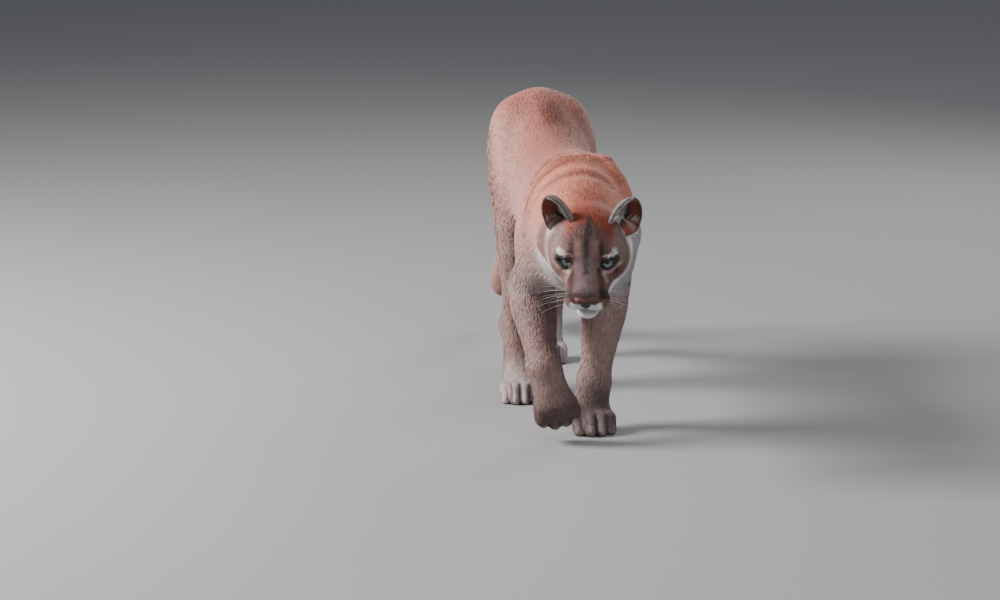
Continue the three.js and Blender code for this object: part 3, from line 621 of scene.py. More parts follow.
def skin_mesh(distance, low, high, levels, unit_size, start=COARSE):
    """The closed surface where a distance is zero, as vertices and triangles.

    Space is cut into blocks, each split into cells as small as its level asks. A vertex lies in every cell
    that the surface crosses, on the surface. Every cell edge that it crosses gives one face, between the
    vertices of the cells around it, so a face spans small and large cells alike.
    """
    block = 16
    low = np.floor(np.asarray(low) / unit_size).astype(int)
    counts = np.ceil((np.asarray(high) / unit_size - low) / block).astype(int)
    blocks = every(*map(np.arange, counts))
    centres = (low + (blocks + 0.5) * block) * unit_size
    near = np.abs(distance(centres)) < 0.5 * math.sqrt(3) * block * unit_size * 1.6
    steps = np.full(tuple(counts), start)
    for points, margin, step in levels:
        box_low, box_high = box_around(points, margin)
        inside = ((centres > box_low) & (centres < box_high)).all(1)
        chosen = blocks[inside]
        steps[tuple(chosen.T)] = np.minimum(steps[tuple(chosen.T)], step)
    size = counts * block + 1

    def key(cells):
        return (cells[..., 0] * size[1] + cells[..., 1]) * size[2] + cells[..., 2]

    def places(cells):
        return (low + cells) * unit_size

    crossing, around = [], []
    for step in (COARSE, FINE, FINEST):
        chosen = blocks[near & (steps[tuple(blocks.T)] == step)]
        if not len(chosen):
            continue
        line = np.arange(0, block + 1, step)
        lattice = (chosen[:, None] * block + every(line, line, line)).reshape(-1, 3)
        _, first, back = np.unique(key(lattice), return_index=True, return_inverse=True)
        value = distance(places(lattice[first]))[back].reshape(len(chosen), *[len(line)] * 3)
        lattice = lattice.reshape(*value.shape, 3)
        for axis in range(3):
            ends = [np.moveaxis(value, axis + 1, 1)[:, s] for s in (slice(0, -1), slice(1, None))]
            begins = np.moveaxis(lattice, axis + 1, 1)[:, :-1]
            crossed = (ends[0] < 0) != (ends[1] < 0)
            a, va, vb = begins[crossed], ends[0][crossed], ends[1][crossed]
            _, first = np.unique(key(a), return_index=True)
            a, va, vb = a[first], va[first], vb[first]
            p, q = (axis + 1) % 3, (axis + 2) % 3
            cells, keep = [], np.ones(len(a), bool)
            for sp, sq in ((-1, -1), (1, -1), (1, 1), (-1, 1)):
                probe = a + 0.5
                probe[:, p] += sp * 0.5 * step - 0.5
                probe[:, q] += sq * 0.5 * step - 0.5
                probe[:, axis] = a[:, axis] + 0.5
                inside = np.clip((probe // block).astype(int), 0, counts - 1)
                theirs = steps[tuple(inside.T)]
                keep &= theirs >= step
                cells.append(key((probe // theirs[:, None] * theirs[:, None]).astype(int)))
            cells = np.stack(cells, 1)
            cells[va > vb] = cells[va > vb][:, ::-1]
            at = places(a)
            at[:, axis] += step * unit_size * va / (va - vb)
            crossing.append(at[keep])
            around.append(cells[keep])
    crossing, around = np.concatenate(crossing), np.concatenate(around)
    ids, corners = np.unique(around, return_inverse=True)
    corners = corners.reshape(around.shape)
    share = np.bincount(corners.ravel(), minlength=len(ids))
    points = [np.bincount(corners.ravel(), np.repeat(crossing[:, n], 4)) / share for n in range(3)]
    points = settled(distance, np.stack(points, 1))
    across = [np.linalg.norm(points[corners[:, m]] - points[corners[:, m + 2]], axis=1) for m in (0, 1)]
    swap = (across[1] < across[0])[:, None]
    halves = np.concatenate([
        np.where(swap, corners[:, [0, 1, 3]], corners[:, [0, 1, 2]]),
        np.where(swap, corners[:, [1, 2, 3]], corners[:, [0, 2, 3]]),
    ])
    whole = (halves[:, 0] != halves[:, 1]) & (halves[:, 1] != halves[:, 2]) & (halves[:, 2] != halves[:, 0])
    return points, halves[whole]


def mesh_normals(points, faces):
    """The way out at each vertex, from the faces around it by their size."""
    a, b, c = (points[faces[:, n]] for n in range(3))
    way = np.cross(b - a, c - a)
    out = [sum(np.bincount(faces[:, m], way[:, n], len(points)) for m in range(3)) for n in range(3)]
    return unit(np.stack(out, 1))


SKIN_CELL, NOSE_CELL = 1.45, 0.9
levels = [
    ([in_head(0, 60, 0), in_head(0, -60, 0)], 105, FINE),
    ([in_head(-38, 40, 18)], 20, FINEST),
    ([in_head(38, 40, 18)], 20, FINEST),
    ([in_head(0, 118, -26), in_head(0, 96, -40)], 24, FINEST),
]
for each in LEGS:
    levels.append(([each["paw"].at(across, ahead, 0) for across in (-30, 30) for ahead in (0, 50)], 26, FINE))

skin_points, skin_faces = skin_mesh(skin_distance, BODY_LOW, BODY_HIGH, levels, SKIN_CELL)
skin_normals = mesh_normals(skin_points, skin_faces)


def srgb(red, green, blue):
    """A colour as seen, from 0 to 255, as the light that it gives back."""
    seen = np.array([red, green, blue]) / 255
    return np.where(seen < 0.04045, seen / 12.92, ((seen + 0.055) / 1.055) ** 2.4)


def ramp(x, low, high):
    """Zero below low, one above high, and smooth between them."""
    t = np.clip((x - low) / (high - low), 0, 1)
    return t * t * (3 - 2 * t)


TAWNY = srgb(164, 122, 109)
BACK = srgb(150, 90, 76)
RUFOUS = srgb(186, 110, 86)
# Dark rust: the back's own darker coat, and also painted shade over the hollow between the hips and in the
# creases between the withers' folds.
DARK_RUST_AND_SHADE = srgb(92, 42, 30)
LIMB = srgb(150, 124, 117)
# The fore paws' tops: a dark grey-brown, partly their own colour and partly painted shade.
FORE_PAW_TONE_AND_SHADE = srgb(78, 60, 56)
PALE = srgb(200, 186, 180)
WHITE = srgb(232, 230, 230)
DARK = srgb(44, 30, 27)


def painted(colour, other, share):
    """A colour with a share of another laid over it."""
    return colour + (other - colour) * np.clip(share, 0, 1)[:, None]


def stroke(h, line, width, soft=0.6):
    """How much of a long mark each place in the head has."""
    d, _ = line_distance(h, np.array(line, float))
    return 1 - ramp(d, width * (1 - soft), width)


UNDER_MARKS = [
    (srgb(84, 56, 51), 0.9, [[12, 12, 64], [20, 40, 50]], 34, 0.8),  # the dark brow
    (srgb(120, 99, 95), 0.8, [[50, -10, 36], [58, 22, 26]], 26, 0.8),  # the grey temple
    (srgb(112, 92, 90), 0.9, [[0, 66, 34], [0, 112, 6]], 27, 0.7),  # the grey nose
    (srgb(96, 60, 50), 0.8, [[56, 44, 0], [42, 70, 2]], 22, 0.7),  # the brown under the eye
]
FACE_MARKS = [
    (WHITE, 0.85, [[66, -40, 14], [66, -18, -6], [60, 12, -26], [50, 42, -38]], 30, 0.85),  # the cheek
    (srgb(60, 36, 32), 0.85, [[25, 72, 21], [29, 98, 5], [31, 112, -6]], 11, 0.8),  # the nose's side
    (srgb(38, 27, 23), 0.95, [[32, 108, -6], [42, 98, -20], [44, 84, -28]], 14, 0.7),  # the lip's dark patch
    (srgb(132, 98, 91), 0.7, [[16, 34, 54], [15, 52, 42]], 9, 0.8),  # the pale stroke beside the stripe
    (srgb(46, 30, 28), 0.9, [[29, 28, 54], [27, 44, 42]], 7.5, 0.7),  # the dark stroke over the eye
    (srgb(36, 22, 20), 0.95, [[0, -26, 74], [0, 22, 63], [0, 56, 44], [0, 86, 24]], 9.0, 0.8),  # the stripe
    (srgb(208, 196, 193), 0.85, [[53, 30, 33], [46, 40, 34]], 9, 0.8),  # the white outer brow
    (srgb(206, 188, 180), 0.8, [[22, 60, 32], [22, 68, 26]], 5.5, 0.8),  # the white inner brow
    (srgb(190, 164, 154), 0.7, [[60, 36, 12], [47, 56, 8], [33, 74, 13]], 6, 0.9),  # the pale lower lid
    (srgb(176, 142, 130), 0.6, [[31, 76, 14], [37, 84, 2]], 7, 0.9),  # the pale line beside the nose
]
EYE_MARKS = [
    (DARK, 1, [[27, 62, 22], [24, 72, 19], [24, 82, 13]], 5.5, 0.8),  # the tear line
    (DARK, 0.8, [[54, 38, 22], [61, 30, 27]], 4, 0.8),  # the outer corner
]


def marked(colour, h, marks):
    """The colour with marks laid over it, each as its colour, share, line, width and softness."""
    for tint, share, line, width, soft in marks:
        colour = painted(colour, tint, share * stroke(h, line, width, soft))
    return colour


def face_colour(h):
    """The head's colour at places folded in it: rust over the crown, dark brow and muzzle, white lips."""
    left, forward, rise = h.T
    crown = ramp(rise, 26, 48) * ramp(-forward, -34, 8) * ramp(-left, -56, -36)
    face = marked(painted(srgb(114, 80, 70), srgb(122, 46, 22), crown), h, UNDER_MARKS)
    face = painted(face, PALE, 0.95 * ramp(-rise - 0.35 * left, 2, 16) * ramp(-forward, -74, -50))
    face = painted(marked(face, h, FACE_MARKS), DARK, 1 - ramp(almond(h), 1.6, 4.2))
    face = marked(face, h, EYE_MARKS)
    lip = ramp(-rise, 15.5, 18.5) * ramp(-left, -32, -26) * ramp(forward, 66, 84)
    chin = 1 - ramp(np.linalg.norm(h - [0, 96, -66], axis=1), 22.8, 38)
    face = painted(painted(face, WHITE, lip), WHITE, chin)
    return painted(face, DARK, 1 - ramp(from_lips(h), 2.6, 4.8))


def leg_colour(colour, places):
    """The colour, greyer down the legs, with the fore paws darker, partly their own colour and partly painted
    shade, painted shade in the gaps between the toes, and pale hind toes.
    """
    for each in LEGS:
        joints, paw = each["line"], each["paw"]
        away, _ = line_distance(places, joints[1:])
        on_leg = ramp(-away, -78, -50) * ramp(-places[:, 2], -460, -330)
        colour = painted(colour, LIMB, 0.85 * on_leg)
        q = (places - paw.ball) @ paw.axes.T
        on_paw = ramp(q[:, 1], -75, 10) * ramp(-np.linalg.norm(q, axis=1), -120, -48)
        # The fore paws' tops darker, partly their own colour and partly painted shade; the hind paws' tops
        # pale.
        top = FORE_PAW_TONE_AND_SHADE if each["shape"] is foreleg else PALE
        colour = painted(colour, top, 0.85 * on_paw)
        if each["shape"] is foreleg:
            colour = painted(colour, PALE, 0.25 * on_paw * ramp(q[:, 1], 30, 50))
        # Painted shade in the gaps between the toes.
        gap = np.min([np.abs(q[:, 0] - s * paw.spread * 0.64) for s in (-1, 0, 1)], axis=0)
        colour = painted(colour, DARK, 0.75 * on_paw * (1 - ramp(gap, 1.5, 4)) * ramp(q[:, 1], 22, 34))
    return colour


def coat_colour(places, normals):
    """The coat's colour: tawny, redder on the back and neck, pale beneath, and marked on the face."""
    x, y, z = places.T
    up = normals[:, 2]
    colour = painted(TAWNY, BACK, ramp(up, 0.1, 0.9))
    colour = painted(colour, RUFOUS, 0.85 * ramp(-y, -80, 60) * ramp(z, 400, 540) * ramp(up, -0.3, 0.5))
    # Dark rust along the spine and over the hollow between the hips: partly the coat's own darker colour and
    # partly painted shade of that hollow.
    spine = np.array([[4, 90, 592], [6, 300, 592], [8, 420, 622], [8, 500, 655]], float)
    colour = painted(colour, DARK_RUST_AND_SHADE, 0.3 * stroke(places, spine, 50, 0.9))
    saddle = spine[2:3] + [[0, -26, -10], [0, 40, 20]]
    colour = painted(colour, DARK_RUST_AND_SHADE, 0.75 * stroke(places, saddle, 40, 0.9))
    # Painted shade in the creases between the first three folds over the withers, in dark rust.
    share = np.linspace(0, 1, 6)
    for (line, _, _), (after, _, _) in zip(FOLDS[:2], FOLDS[1:3]):
        crease = (smooth_values(line.T, share).T + smooth_values(after.T, share).T) / 2
        colour = painted(colour, DARK_RUST_AND_SHADE, 0.55 * stroke(places, crease, 14, 0.9))
    colour = painted(colour, PALE, 0.9 * ramp(-up, 0.15, 0.8) * ramp(z, 250, 330))
    nape = np.array([in_head(0, -60, 62), in_head(0, -125, 66)])
    colour = painted(colour, srgb(126, 50, 30), 0.8 * stroke(places, nape, 66, 0.8))
    colour = leg_colour(colour, places)
    h = folded(places)
    on_head = ramp(h[:, 1], -95, -60) * ramp(260 - np.linalg.norm(h, axis=1), 100, 130)
    throat = ramp(-up - 0.012 * (z - 400), -0.35, 0.25) * ramp(-y, 120, 190) * ramp(z, 300, 330)
    breast = ramp(-normals[:, 1], -0.2, 0.4) * ramp(-y, -40, 20) * ramp(z, 290, 330) * ramp(-z, -490, -430)
    breast = breast * (0.15 + 0.85 * ramp(x, -60, 20))
    colour = painted(colour, srgb(186, 182, 184), np.maximum(0.85 * throat, 0.85 * breast))
    colour = painted(colour, face_colour(h), on_head)
    tail_away, tail_along = line_distance(places, TAIL)
    return painted(colour, DARK, 0.9 * (1 - ramp(tail_away, 50, 60)) * ramp(tail_along, 0.88, 0.97))


def with_sockets(made, **values):
    """A shader node with its sockets set, named with an underscore for each space."""
    for name, value in values.items():
        made.inputs[name.replace("_", " ")].default_value = value
    return made


def new_material(name, **sockets):
    """A material with its shader's sockets set."""
    material = bpy.data.materials.new(name)
    material.use_nodes = True
    with_sockets(material.node_tree.nodes["Principled BSDF"], **sockets)
    return material


def mottled_material(name, scale, detail, least, most, **sockets):
    """A material in the piece's own colour, made darker and lighter from place to place by noise."""
    material = new_material(name, **sockets)
    tree = material.node_tree
    colour = tree.nodes.new("ShaderNodeAttribute")
    colour.attribute_name = COAT_COLOUR
    where = tree.nodes.new("ShaderNodeTexCoord")
    mottle = with_sockets(tree.nodes.new("ShaderNodeTexNoise"), Scale=scale, Detail=detail)
    tree.links.new(where.outputs["Object"], mottle.inputs["Vector"])
    lift = with_sockets(tree.nodes.new("ShaderNodeMapRange"), From_Min=0.3, From_Max=0.7, To_Min=least,
                        To_Max=most)
    tree.links.new(mottle.outputs["Fac"], lift.inputs["Value"])
    tint = tree.nodes.new("ShaderNodeVectorMath")
    tint.operation = "SCALE"
    tree.links.new(colour.outputs["Color"], tint.inputs[0])
    tree.links.new(lift.outputs["Result"], tint.inputs["Scale"])
    tree.links.new(tint.outputs["Vector"], tree.nodes["Principled BSDF"].inputs["Base Color"])
    return material


def relief(material, kind, height, scale, strength, depth):
    """Raises and lowers a material's surface by an output of a texture laid on the piece."""
    tree = material.node_tree
    texture = with_sockets(tree.nodes.new(kind), Scale=scale)
    tree.links.new(tree.nodes["Texture Coordinate"].outputs["Object"], texture.inputs["Vector"])
    bump = with_sockets(tree.nodes.new("ShaderNodeBump"), Strength=strength, Distance=depth)
    tree.links.new(texture.outputs[height], bump.inputs["Height"])
    tree.links.new(bump.outputs["Normal"], tree.nodes["Principled BSDF"].inputs["Normal"])
    return bump


def coat_material(name, roughness, bump=0.0):
    """Hair or hide: the piece's own colour, mottled a little, with a soft sheen and a fine grain."""
    material = mottled_material(name, 90.0, 4.0, 0.86, 1.14, Roughness=roughness, Specular_IOR_Level=0.25,
                                Sheen_Weight=0.18, Sheen_Roughness=0.5)
    if bump:
        relief(material, "ShaderNodeTexNoise", "Fac", 700.0, bump, 0.0006)
    return material


# The hide has the coat's colour darkened to 0.8: painted shade deep under the hair.
skin = mesh_piece("skin", skin_points, skin_faces, coat_material("hide", 0.8, 0.5), "tawny_fur",
                  coat_colour(skin_points, skin_normals) * 0.8)
flesh = [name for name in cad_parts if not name.startswith(("eye", "ear", "nose"))]
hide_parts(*flesh)

# The eyes: each a ball of dark-edged white, set behind its lids, with a pale grey iris in a shallow bowl,
# a round black pupil and a clear domed cornea over them. Glass eyes like these are cast and fire-polished,
# and set in the mount with a rim of dark lid skin drawn up to them.
IRIS_RADIUS, PUPIL_RADIUS = 12.3, 3.0
IRIS_HEIGHT = math.sqrt(EYE_RADIUS**2 - IRIS_RADIUS**2)
CORNEA_RADIUS, CORNEA_WALL = 14.0, 0.5
SIDES = ((1, "left"), (-1, "right"))
EYE_AROUND, CORNEA_AROUND = 96, 64
LID_REACH, UPPER_RISE, LOWER_RISE = 17.0, 7.6, 9.4
LID_FAT, UPPER_FAT = 1.9, 1.2


def strip_faces(rows, around):
    """Triangles between rows of points that each go once around."""
    n = np.arange(around)
    after = (n + 1) % around
    quads = np.concatenate([
        np.stack([k * around + n, k * around + after, (k + 1) * around + after, (k + 1) * around + n], 1)
        for k in range(rows - 1)])
    return np.concatenate([quads[:, [0, 1, 2]], quads[:, [0, 2, 3]]])


def repeated(faces, corners, count):
    """The faces of one part for several alike, whose points follow one another."""
    return (np.arange(count)[:, None, None] * corners + faces).reshape(-1, faces.shape[1])


def turned(profile, centre, axes, around):
    """A profile of (out from the axis, along it) turned about the third axis, as points and faces."""
    angles = np.linspace(0, 2 * np.pi, around, endpoint=False)
    out, along = np.array(profile, float).T
    ring = np.stack([np.outer(out, np.cos(angles)), np.outer(out, np.sin(angles)),
                     np.outer(along, np.ones(around))], -1)
    return ring.reshape(-1, 3) @ axes + centre, strip_faces(len(profile), around)


def tube(line, first, second, wide, high, around):
    """Rings of points about lines: as wide as asked along the first way and as high along the second."""
    turn = np.linspace(0, 2 * np.pi, around, endpoint=False)[:, None]
    return (line[..., None, :] + wide[..., None, None] * np.cos(turn) * first[..., None, :]
            + high[..., None, None] * np.sin(turn) * second[..., None, :])


def dome(radius, lift, angles):
    """A round section about the axis: each angle's sine out and cosine along, raised by lift."""
    return [(radius * math.sin(a), lift + radius * math.cos(a)) for a in angles]


def eye_profile():
    """The eyeball's section, from behind over the white to the iris's bowl and down into the pupil."""
    white = dome(EYE_RADIUS, 0, np.linspace(math.pi - 1e-4, math.atan2(IRIS_RADIUS, IRIS_HEIGHT), 22))
    bowl = [(r, IRIS_HEIGHT - 2.4 * (1 - ((r - PUPIL_RADIUS) / (IRIS_RADIUS - PUPIL_RADIUS)) ** 2) - 0.2)
            for r in np.linspace(IRIS_RADIUS - 0.3, PUPIL_RADIUS, 14)]
    pupil = [(PUPIL_RADIUS * 0.96, IRIS_HEIGHT - 3.2), (PUPIL_RADIUS * 0.8, IRIS_HEIGHT - 5),
             (1e-3, IRIS_HEIGHT - 5.4)]
    return white + bowl + pupil


def cornea_profile():
    """The cornea's section: out along its inner face to its edge and back over its dome."""
    lift = IRIS_HEIGHT - math.sqrt(CORNEA_RADIUS**2 - IRIS_RADIUS**2) + 0.1
    edge = math.asin((IRIS_RADIUS + 0.1) / CORNEA_RADIUS)
    inner = dome(CORNEA_RADIUS - CORNEA_WALL, lift, np.linspace(1e-4, edge, 16))
    return inner + dome(CORNEA_RADIUS, lift, np.linspace(edge, 1e-4, 18))


def eye_axes(side):
    """The axes of the left or right eye in the animal: along its opening, across it and out."""
    along, _, out = head_way(EYE_AXES * [side, 1, 1])
    return np.array([along, np.cross(out, along), out])


def band(values, middle, width):
    """One where the values are the middle one, and nothing where they are a width from it."""
    return 1 - ramp(np.abs(values - middle), 0, width)


def eyeball_colour(across):
    """The eyeball's colour by how far out from its axis each place is."""
    colour = painted(srgb(96, 82, 76), srgb(60, 44, 40), ramp(across, 15.5, 13.0))
    iris = painted(srgb(128, 142, 148), srgb(166, 184, 190), ramp(across, 9.5, 5.5))
    iris = painted(iris, srgb(128, 138, 120), ramp(across, 5.2, 3.4))
    colour = painted(colour, iris, ramp(-across, -12.4, -11.4))
    colour = painted(colour, srgb(38, 46, 50), band(across, 12.0, 1.3))
    return painted(colour, srgb(4, 4, 5), ramp(-across, -3.25, -2.9))


def lid_tube(side, around, ring=10):
    """The lids' rim, as points about the eye: a tube round the opening, thicker on the upper lid."""
    theta = np.linspace(0, 2 * np.pi, around, endpoint=False)
    sphere = EYE_RADIUS + 1.2
    rise = np.where(np.sin(theta) > 0, UPPER_RISE, LOWER_RISE) * np.abs(np.sin(theta)) ** 0.12
    x, y = LID_REACH * np.cos(theta), side * rise * np.sin(theta)
    line = np.stack([x, y, np.sqrt(sphere**2 - x**2 - y**2)], 1)
    out = unit(line)
    wide = np.cross(unit(np.roll(line, -1, 0) - np.roll(line, 1, 0)), out)
    fat = LID_FAT + UPPER_FAT * ramp(np.sin(theta), 0.1, 0.8)
    n, m = np.meshgrid(np.arange(around), np.arange(ring), indexing="ij")
    after, above = (n + 1) % around, (m + 1) % ring
    faces = np.stack([n * ring + m, n * ring + above, after * ring + above, after * ring + m], -1)
    return tube(line, wide, out, fat, 0.8 * fat, ring).reshape(-1, 3), faces.reshape(-1, 4)


iris_glaze = mottled_material("iris_glaze", 900.0, 3.0, 0.72, 1.25, Roughness=0.35, Coat_Weight=0.6,
                              Coat_Roughness=0.05)
cornea_glass = new_material("cornea_glass", Roughness=0.02, IOR=1.376, Transmission_Weight=1.0)
rim_skin = coat_material("lid_rim_skin", 0.35, 0.2)
for side, name in SIDES:
    centre = in_head(side * EYE[0], EYE[1], EYE[2])
    axes = eye_axes(side)
    points, faces = turned(eye_profile(), centre, axes, EYE_AROUND)
    q = (points - centre) @ axes.T
    across = np.where(q[:, 2] > 0, np.hypot(q[:, 0], q[:, 1]), EYE_RADIUS)
    ball = mesh_piece(f"{name}_eyeball", points, faces[:, ::-1], iris_glaze, "eye", eyeball_colour(across))
    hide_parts(f"eye_{name}")
    points, faces = turned(cornea_profile(), centre, axes, CORNEA_AROUND)
    mesh_piece(f"{name}_cornea", points, faces, cornea_glass, "eye")
    points, faces = lid_tube(side, EYE_AROUND)
    mesh_piece(f"{name}_lid_rim", points @ axes + centre, faces, rim_skin, "nose_leather", srgb(26, 19, 18))

# The nose pad: bare, finely pebbled leather, broad above and narrow towards the lip, with comma-shaped
# nostrils that open to the side and a groove down its middle. It is sculpted and painted on the mount.
NOSTRIL = np.array([[5, 131, -18], [8, 130, -15.5], [13, 127.5, -13], [19, 121, -10]], float)
NOSE_GROOVE = np.array([[0, 133, -12], [0, 132, -18], [0, 127, -28]], float)


def nose_distance(places):
    """Roughly the distance from the nose pad, with its nostrils and groove taken out."""
    h = folded(places)
    pad = joined(5, egg(h, [0, 119, -8], [19.5, 9.5, 6]), egg(h, [0, 121.5, -16], [13, 10, 11.5]))
    pad = joined(5, pad, egg(h, [13, 120, -9], [8, 9, 5.5]))
    away, along = line_distance(h, NOSTRIL)
    pad = carved(2, pad, away - (2.6 - 1.2 * along))
    return carved(2, pad, line_distance(h, NOSE_GROOVE)[0] - 0.9)


low, high = box_around([in_head(s * 22, f, u) for s in (-1, 1) for f in (104, 132) for u in (-30, 4)], 4)
points, faces = skin_mesh(nose_distance, low, high, [], NOSE_CELL, FINEST)
leather = coat_material("nose_leather", 0.55)
relief(leather, "ShaderNodeTexVoronoi", "Distance", 1100.0, 0.5, 0.0003).invert = True
h = folded(points)
# The nostrils are painted nearly black: partly the leather's own dark rim and partly painted shade inside the
# holes.
hollow = 1 - ramp(line_distance(h, NOSTRIL)[0], 2.4, 4.2)
lower_edge = ramp(h[:, 0] * 0.72 - h[:, 2], 18.5, 22)
nose_colour = painted(srgb(86, 45, 34), srgb(56, 36, 32), ramp(-h[:, 2], 5, 13))
nose_colour = painted(nose_colour, srgb(16, 11, 11), np.maximum(0.95 * hollow, 0.9 * lower_edge))
# Painted shade in the groove down the pad's middle.
nose_colour = painted(nose_colour, srgb(40, 26, 24), 1 - ramp(line_distance(h, NOSE_GROOVE)[0], 0.8, 2.2))
nose_pad = mesh_piece("nose_pad", points, faces, leather, "nose_leather", nose_colour)
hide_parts("nose")

# The ears: thin cups of cartilage under skin, round at the tip, open forward and outward, with a rolled
# rim and low ridges down the inside. On the mount each is a moulded liner with the skin drawn over it.
EAR_SIZE = np.array([33.0, 23.0, 62.0])
EAR_WALL = 2.2
EAR_BASE = np.array([65.0, -41.0, 50.0])
EAR_OUTWARD, EAR_LEAN, EAR_BACK = math.radians(22), math.radians(21), math.radians(4)


def turn_about(axis, angle):
    """The matrix that turns by an angle about x, y or z."""
    c, s = math.cos(angle), math.sin(angle)
    p, q = (axis + 1) % 3, (axis + 2) % 3
    made = np.eye(3)
    made[p, p], made[p, q], made[q, p], made[q, q] = c, -s, s, c
    return made


def ear_turn(side):
    """How an ear is turned in the head: rolled back, then leant aside, then opened outward."""
    return turn_about(2, side * EAR_OUTWARD) @ turn_about(1, side * EAR_LEAN) @ turn_about(0, -EAR_BACK)


def ear_surface(side, rows=30, around=72):
    """An ear as rows of points around it, with a share from the back's middle over the rim to the cup's.

    Each point lies on an egg, the outer one behind and a smaller one inside, at an angle from its back.
    """
    edge = math.acos(-5 / EAR_SIZE[1])
    share = np.linspace(0, 1, 2 * rows)
    alpha = np.where(share < 0.5, share, 1 - share) * 2 * edge
    inward = EAR_WALL * ramp(share, 0.47, 0.53)
    theta = np.linspace(0, 2 * np.pi, around, endpoint=False)
    alpha, inward = np.maximum(alpha, 1e-3)[:, None], inward[:, None]
    tall = np.where(np.sin(theta) < 0, 0.45, 1.0)
    ridge = 1.6 * ramp(share, 0.55, 0.7)[:, None] * np.sin(alpha) * np.cos(theta * 5)
    ridge = ridge * ramp(-alpha, -1.5, -0.6)
    x = (EAR_SIZE[0] - inward) * np.sin(alpha) * np.cos(theta)
    y = (EAR_SIZE[1] - inward * 0.9) * np.cos(alpha) - inward * 0.6 - ridge
    z = (EAR_SIZE[2] - inward) * np.sin(alpha) * np.sin(theta) * tall
    q = np.stack([x * side, y, z], -1).reshape(-1, 3)
    points = (q @ ear_turn(side).T) @ HEAD_AXES + in_head(side * EAR_BASE[0], EAR_BASE[1], EAR_BASE[2])
    faces = strip_faces(2 * rows, around)
    return points, faces if side > 0 else faces[:, ::-1], np.repeat(share, around), np.tile(theta, 2 * rows)


def ear_colour(share, theta):
    """Grey-brown behind, a thin dark rim, and a rust cup with painted shade deep inside, pale at its edges.
    """
    across, upward = np.cos(theta), np.sin(theta)
    outer = ramp(share, 0.2, 0.36) * ramp(-across, -0.3, 0.4)
    behind = painted(srgb(128, 104, 96), srgb(150, 138, 133), 0.8 * outer)
    # Painted shade deep in the cup: the rust darkens towards its bottom.
    inside = painted(srgb(148, 76, 58), srgb(58, 38, 34), ramp(share, 0.72, 0.95))
    inside = painted(inside, srgb(186, 177, 173), 0.9 * ramp(-across, -0.15, 0.3) * ramp(-share, -0.95, -0.8))
    inside = painted(inside, srgb(48, 34, 31), 0.8 * band(across, 0.12, 0.22) * ramp(share, 0.62, 0.75))
    inside = painted(inside, srgb(186, 172, 164), 0.8 * ramp(across, 0.6, 0.9) * ramp(-upward, 0.1, 0.5))
    colour = painted(behind, inside, ramp(share, 0.5, 0.54))
    return painted(colour, srgb(84, 70, 66), 0.8 * band(share, 0.49, 0.03))


ear_hide = coat_material("ear_hide", 0.75, 0.4)
ears = {}
for side, name in SIDES:
    points, faces, share, theta = ear_surface(side)
    colour = ear_colour(share, theta)
    shown = mesh_piece(f"{name}_ear", points, faces, ear_hide, "grey_face_fur", colour)
    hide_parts(f"ear_{name}")
    ears[side] = (points, faces, colour, share, theta)

# The paws' pads: dark leather cushions, one under each toe and a broad one in three lobes behind them.
# They are cast with the paws, and those that stand on the floor have a small flat that carries weight.
PAD_LEATHER = coat_material("pad_leather", 0.6, 0.6)
EGG_ROWS, EGG_AROUND = 14, 20


def egg_points(centre, radii, axes):
    """An egg's rows of points, from pole to pole along its third axis."""
    angle = np.linspace(1e-3, np.pi - 1e-3, EGG_ROWS)[:, None]
    theta = np.linspace(0, 2 * np.pi, EGG_AROUND, endpoint=False)
    unit_egg = np.stack([np.sin(angle) * np.cos(theta), np.sin(angle) * np.sin(theta),
                         np.cos(angle) * np.ones(EGG_AROUND)], -1).reshape(-1, 3)
    return (unit_egg * radii) @ axes + centre


for each in LEGS:
    paw = each["paw"]
    r, w = paw.toe, paw.width
    low = -paw.sole + 9.5
    eggs = [(tip * 0.86 + knuckle * 0.14 - paw.axes[2] * 3.2, [r * 0.72, r * 0.95, r * 0.72])
            for _, knuckle, tip in paw.toes()]
    eggs.append((paw.at(0, 8, low), [w * 0.2, 15, 8.5]))
    eggs += [(paw.at(s * w * 0.17, -9, low), [w * 0.14, 16, 8]) for s in (1, -1)]
    points = np.concatenate([egg_points(centre, radii, paw.axes) for centre, radii in eggs])
    points[:, 2] = np.maximum(points[:, 2], 0.0)
    faces = repeated(strip_faces(EGG_ROWS, EGG_AROUND), EGG_ROWS * EGG_AROUND, len(eggs))
    mesh_piece(f"{each['name']}_pads", points, faces[:, ::-1], PAD_LEATHER, "nose_leather", srgb(52, 40, 40))

# The claws: hooked horn blades drawn back between the toes' hair, so that only their tips show.
# They are the animal's own sheaths, glued over pegs in the toes.
HORN = coat_material("claw_horn", 0.3, 0.2)
CLAW_LENGTH, CLAW_WIDTH, CLAW_BEND = 11.0, 2.2, 1.35
CLAW_ROWS, CLAW_AROUND = 10, 10


def claw_points(root, ahead, down, across):
    """A tapered oval section carried along a quarter turn from the root, ahead and then down."""
    t = np.linspace(0, 1, CLAW_ROWS)
    bend = t[:, None] * CLAW_BEND
    line = root + CLAW_LENGTH * (np.sin(bend) * ahead + (1 - np.cos(bend)) * down)
    out = np.cos(bend) * -down + np.sin(bend) * ahead
    fat = CLAW_WIDTH * (1 - t**1.6) + 0.05
    return tube(line, across, out, 0.6 * fat, 1.15 * fat, CLAW_AROUND).reshape(-1, 3)


for each in LEGS:
    paw = each["paw"]
    across, ahead, up = paw.axes
    roots = [tip + up * paw.toe * 0.55 + ahead * paw.toe * 0.25 for _, _, tip in paw.toes()]
    points = np.concatenate([claw_points(root, ahead, -up, across) for root in roots])
    faces = repeated(strip_faces(CLAW_ROWS, CLAW_AROUND), CLAW_ROWS * CLAW_AROUND, len(roots))
    mesh_piece(f"{each['name']}_claws", points, faces, HORN, "nose_leather", srgb(84, 70, 62))

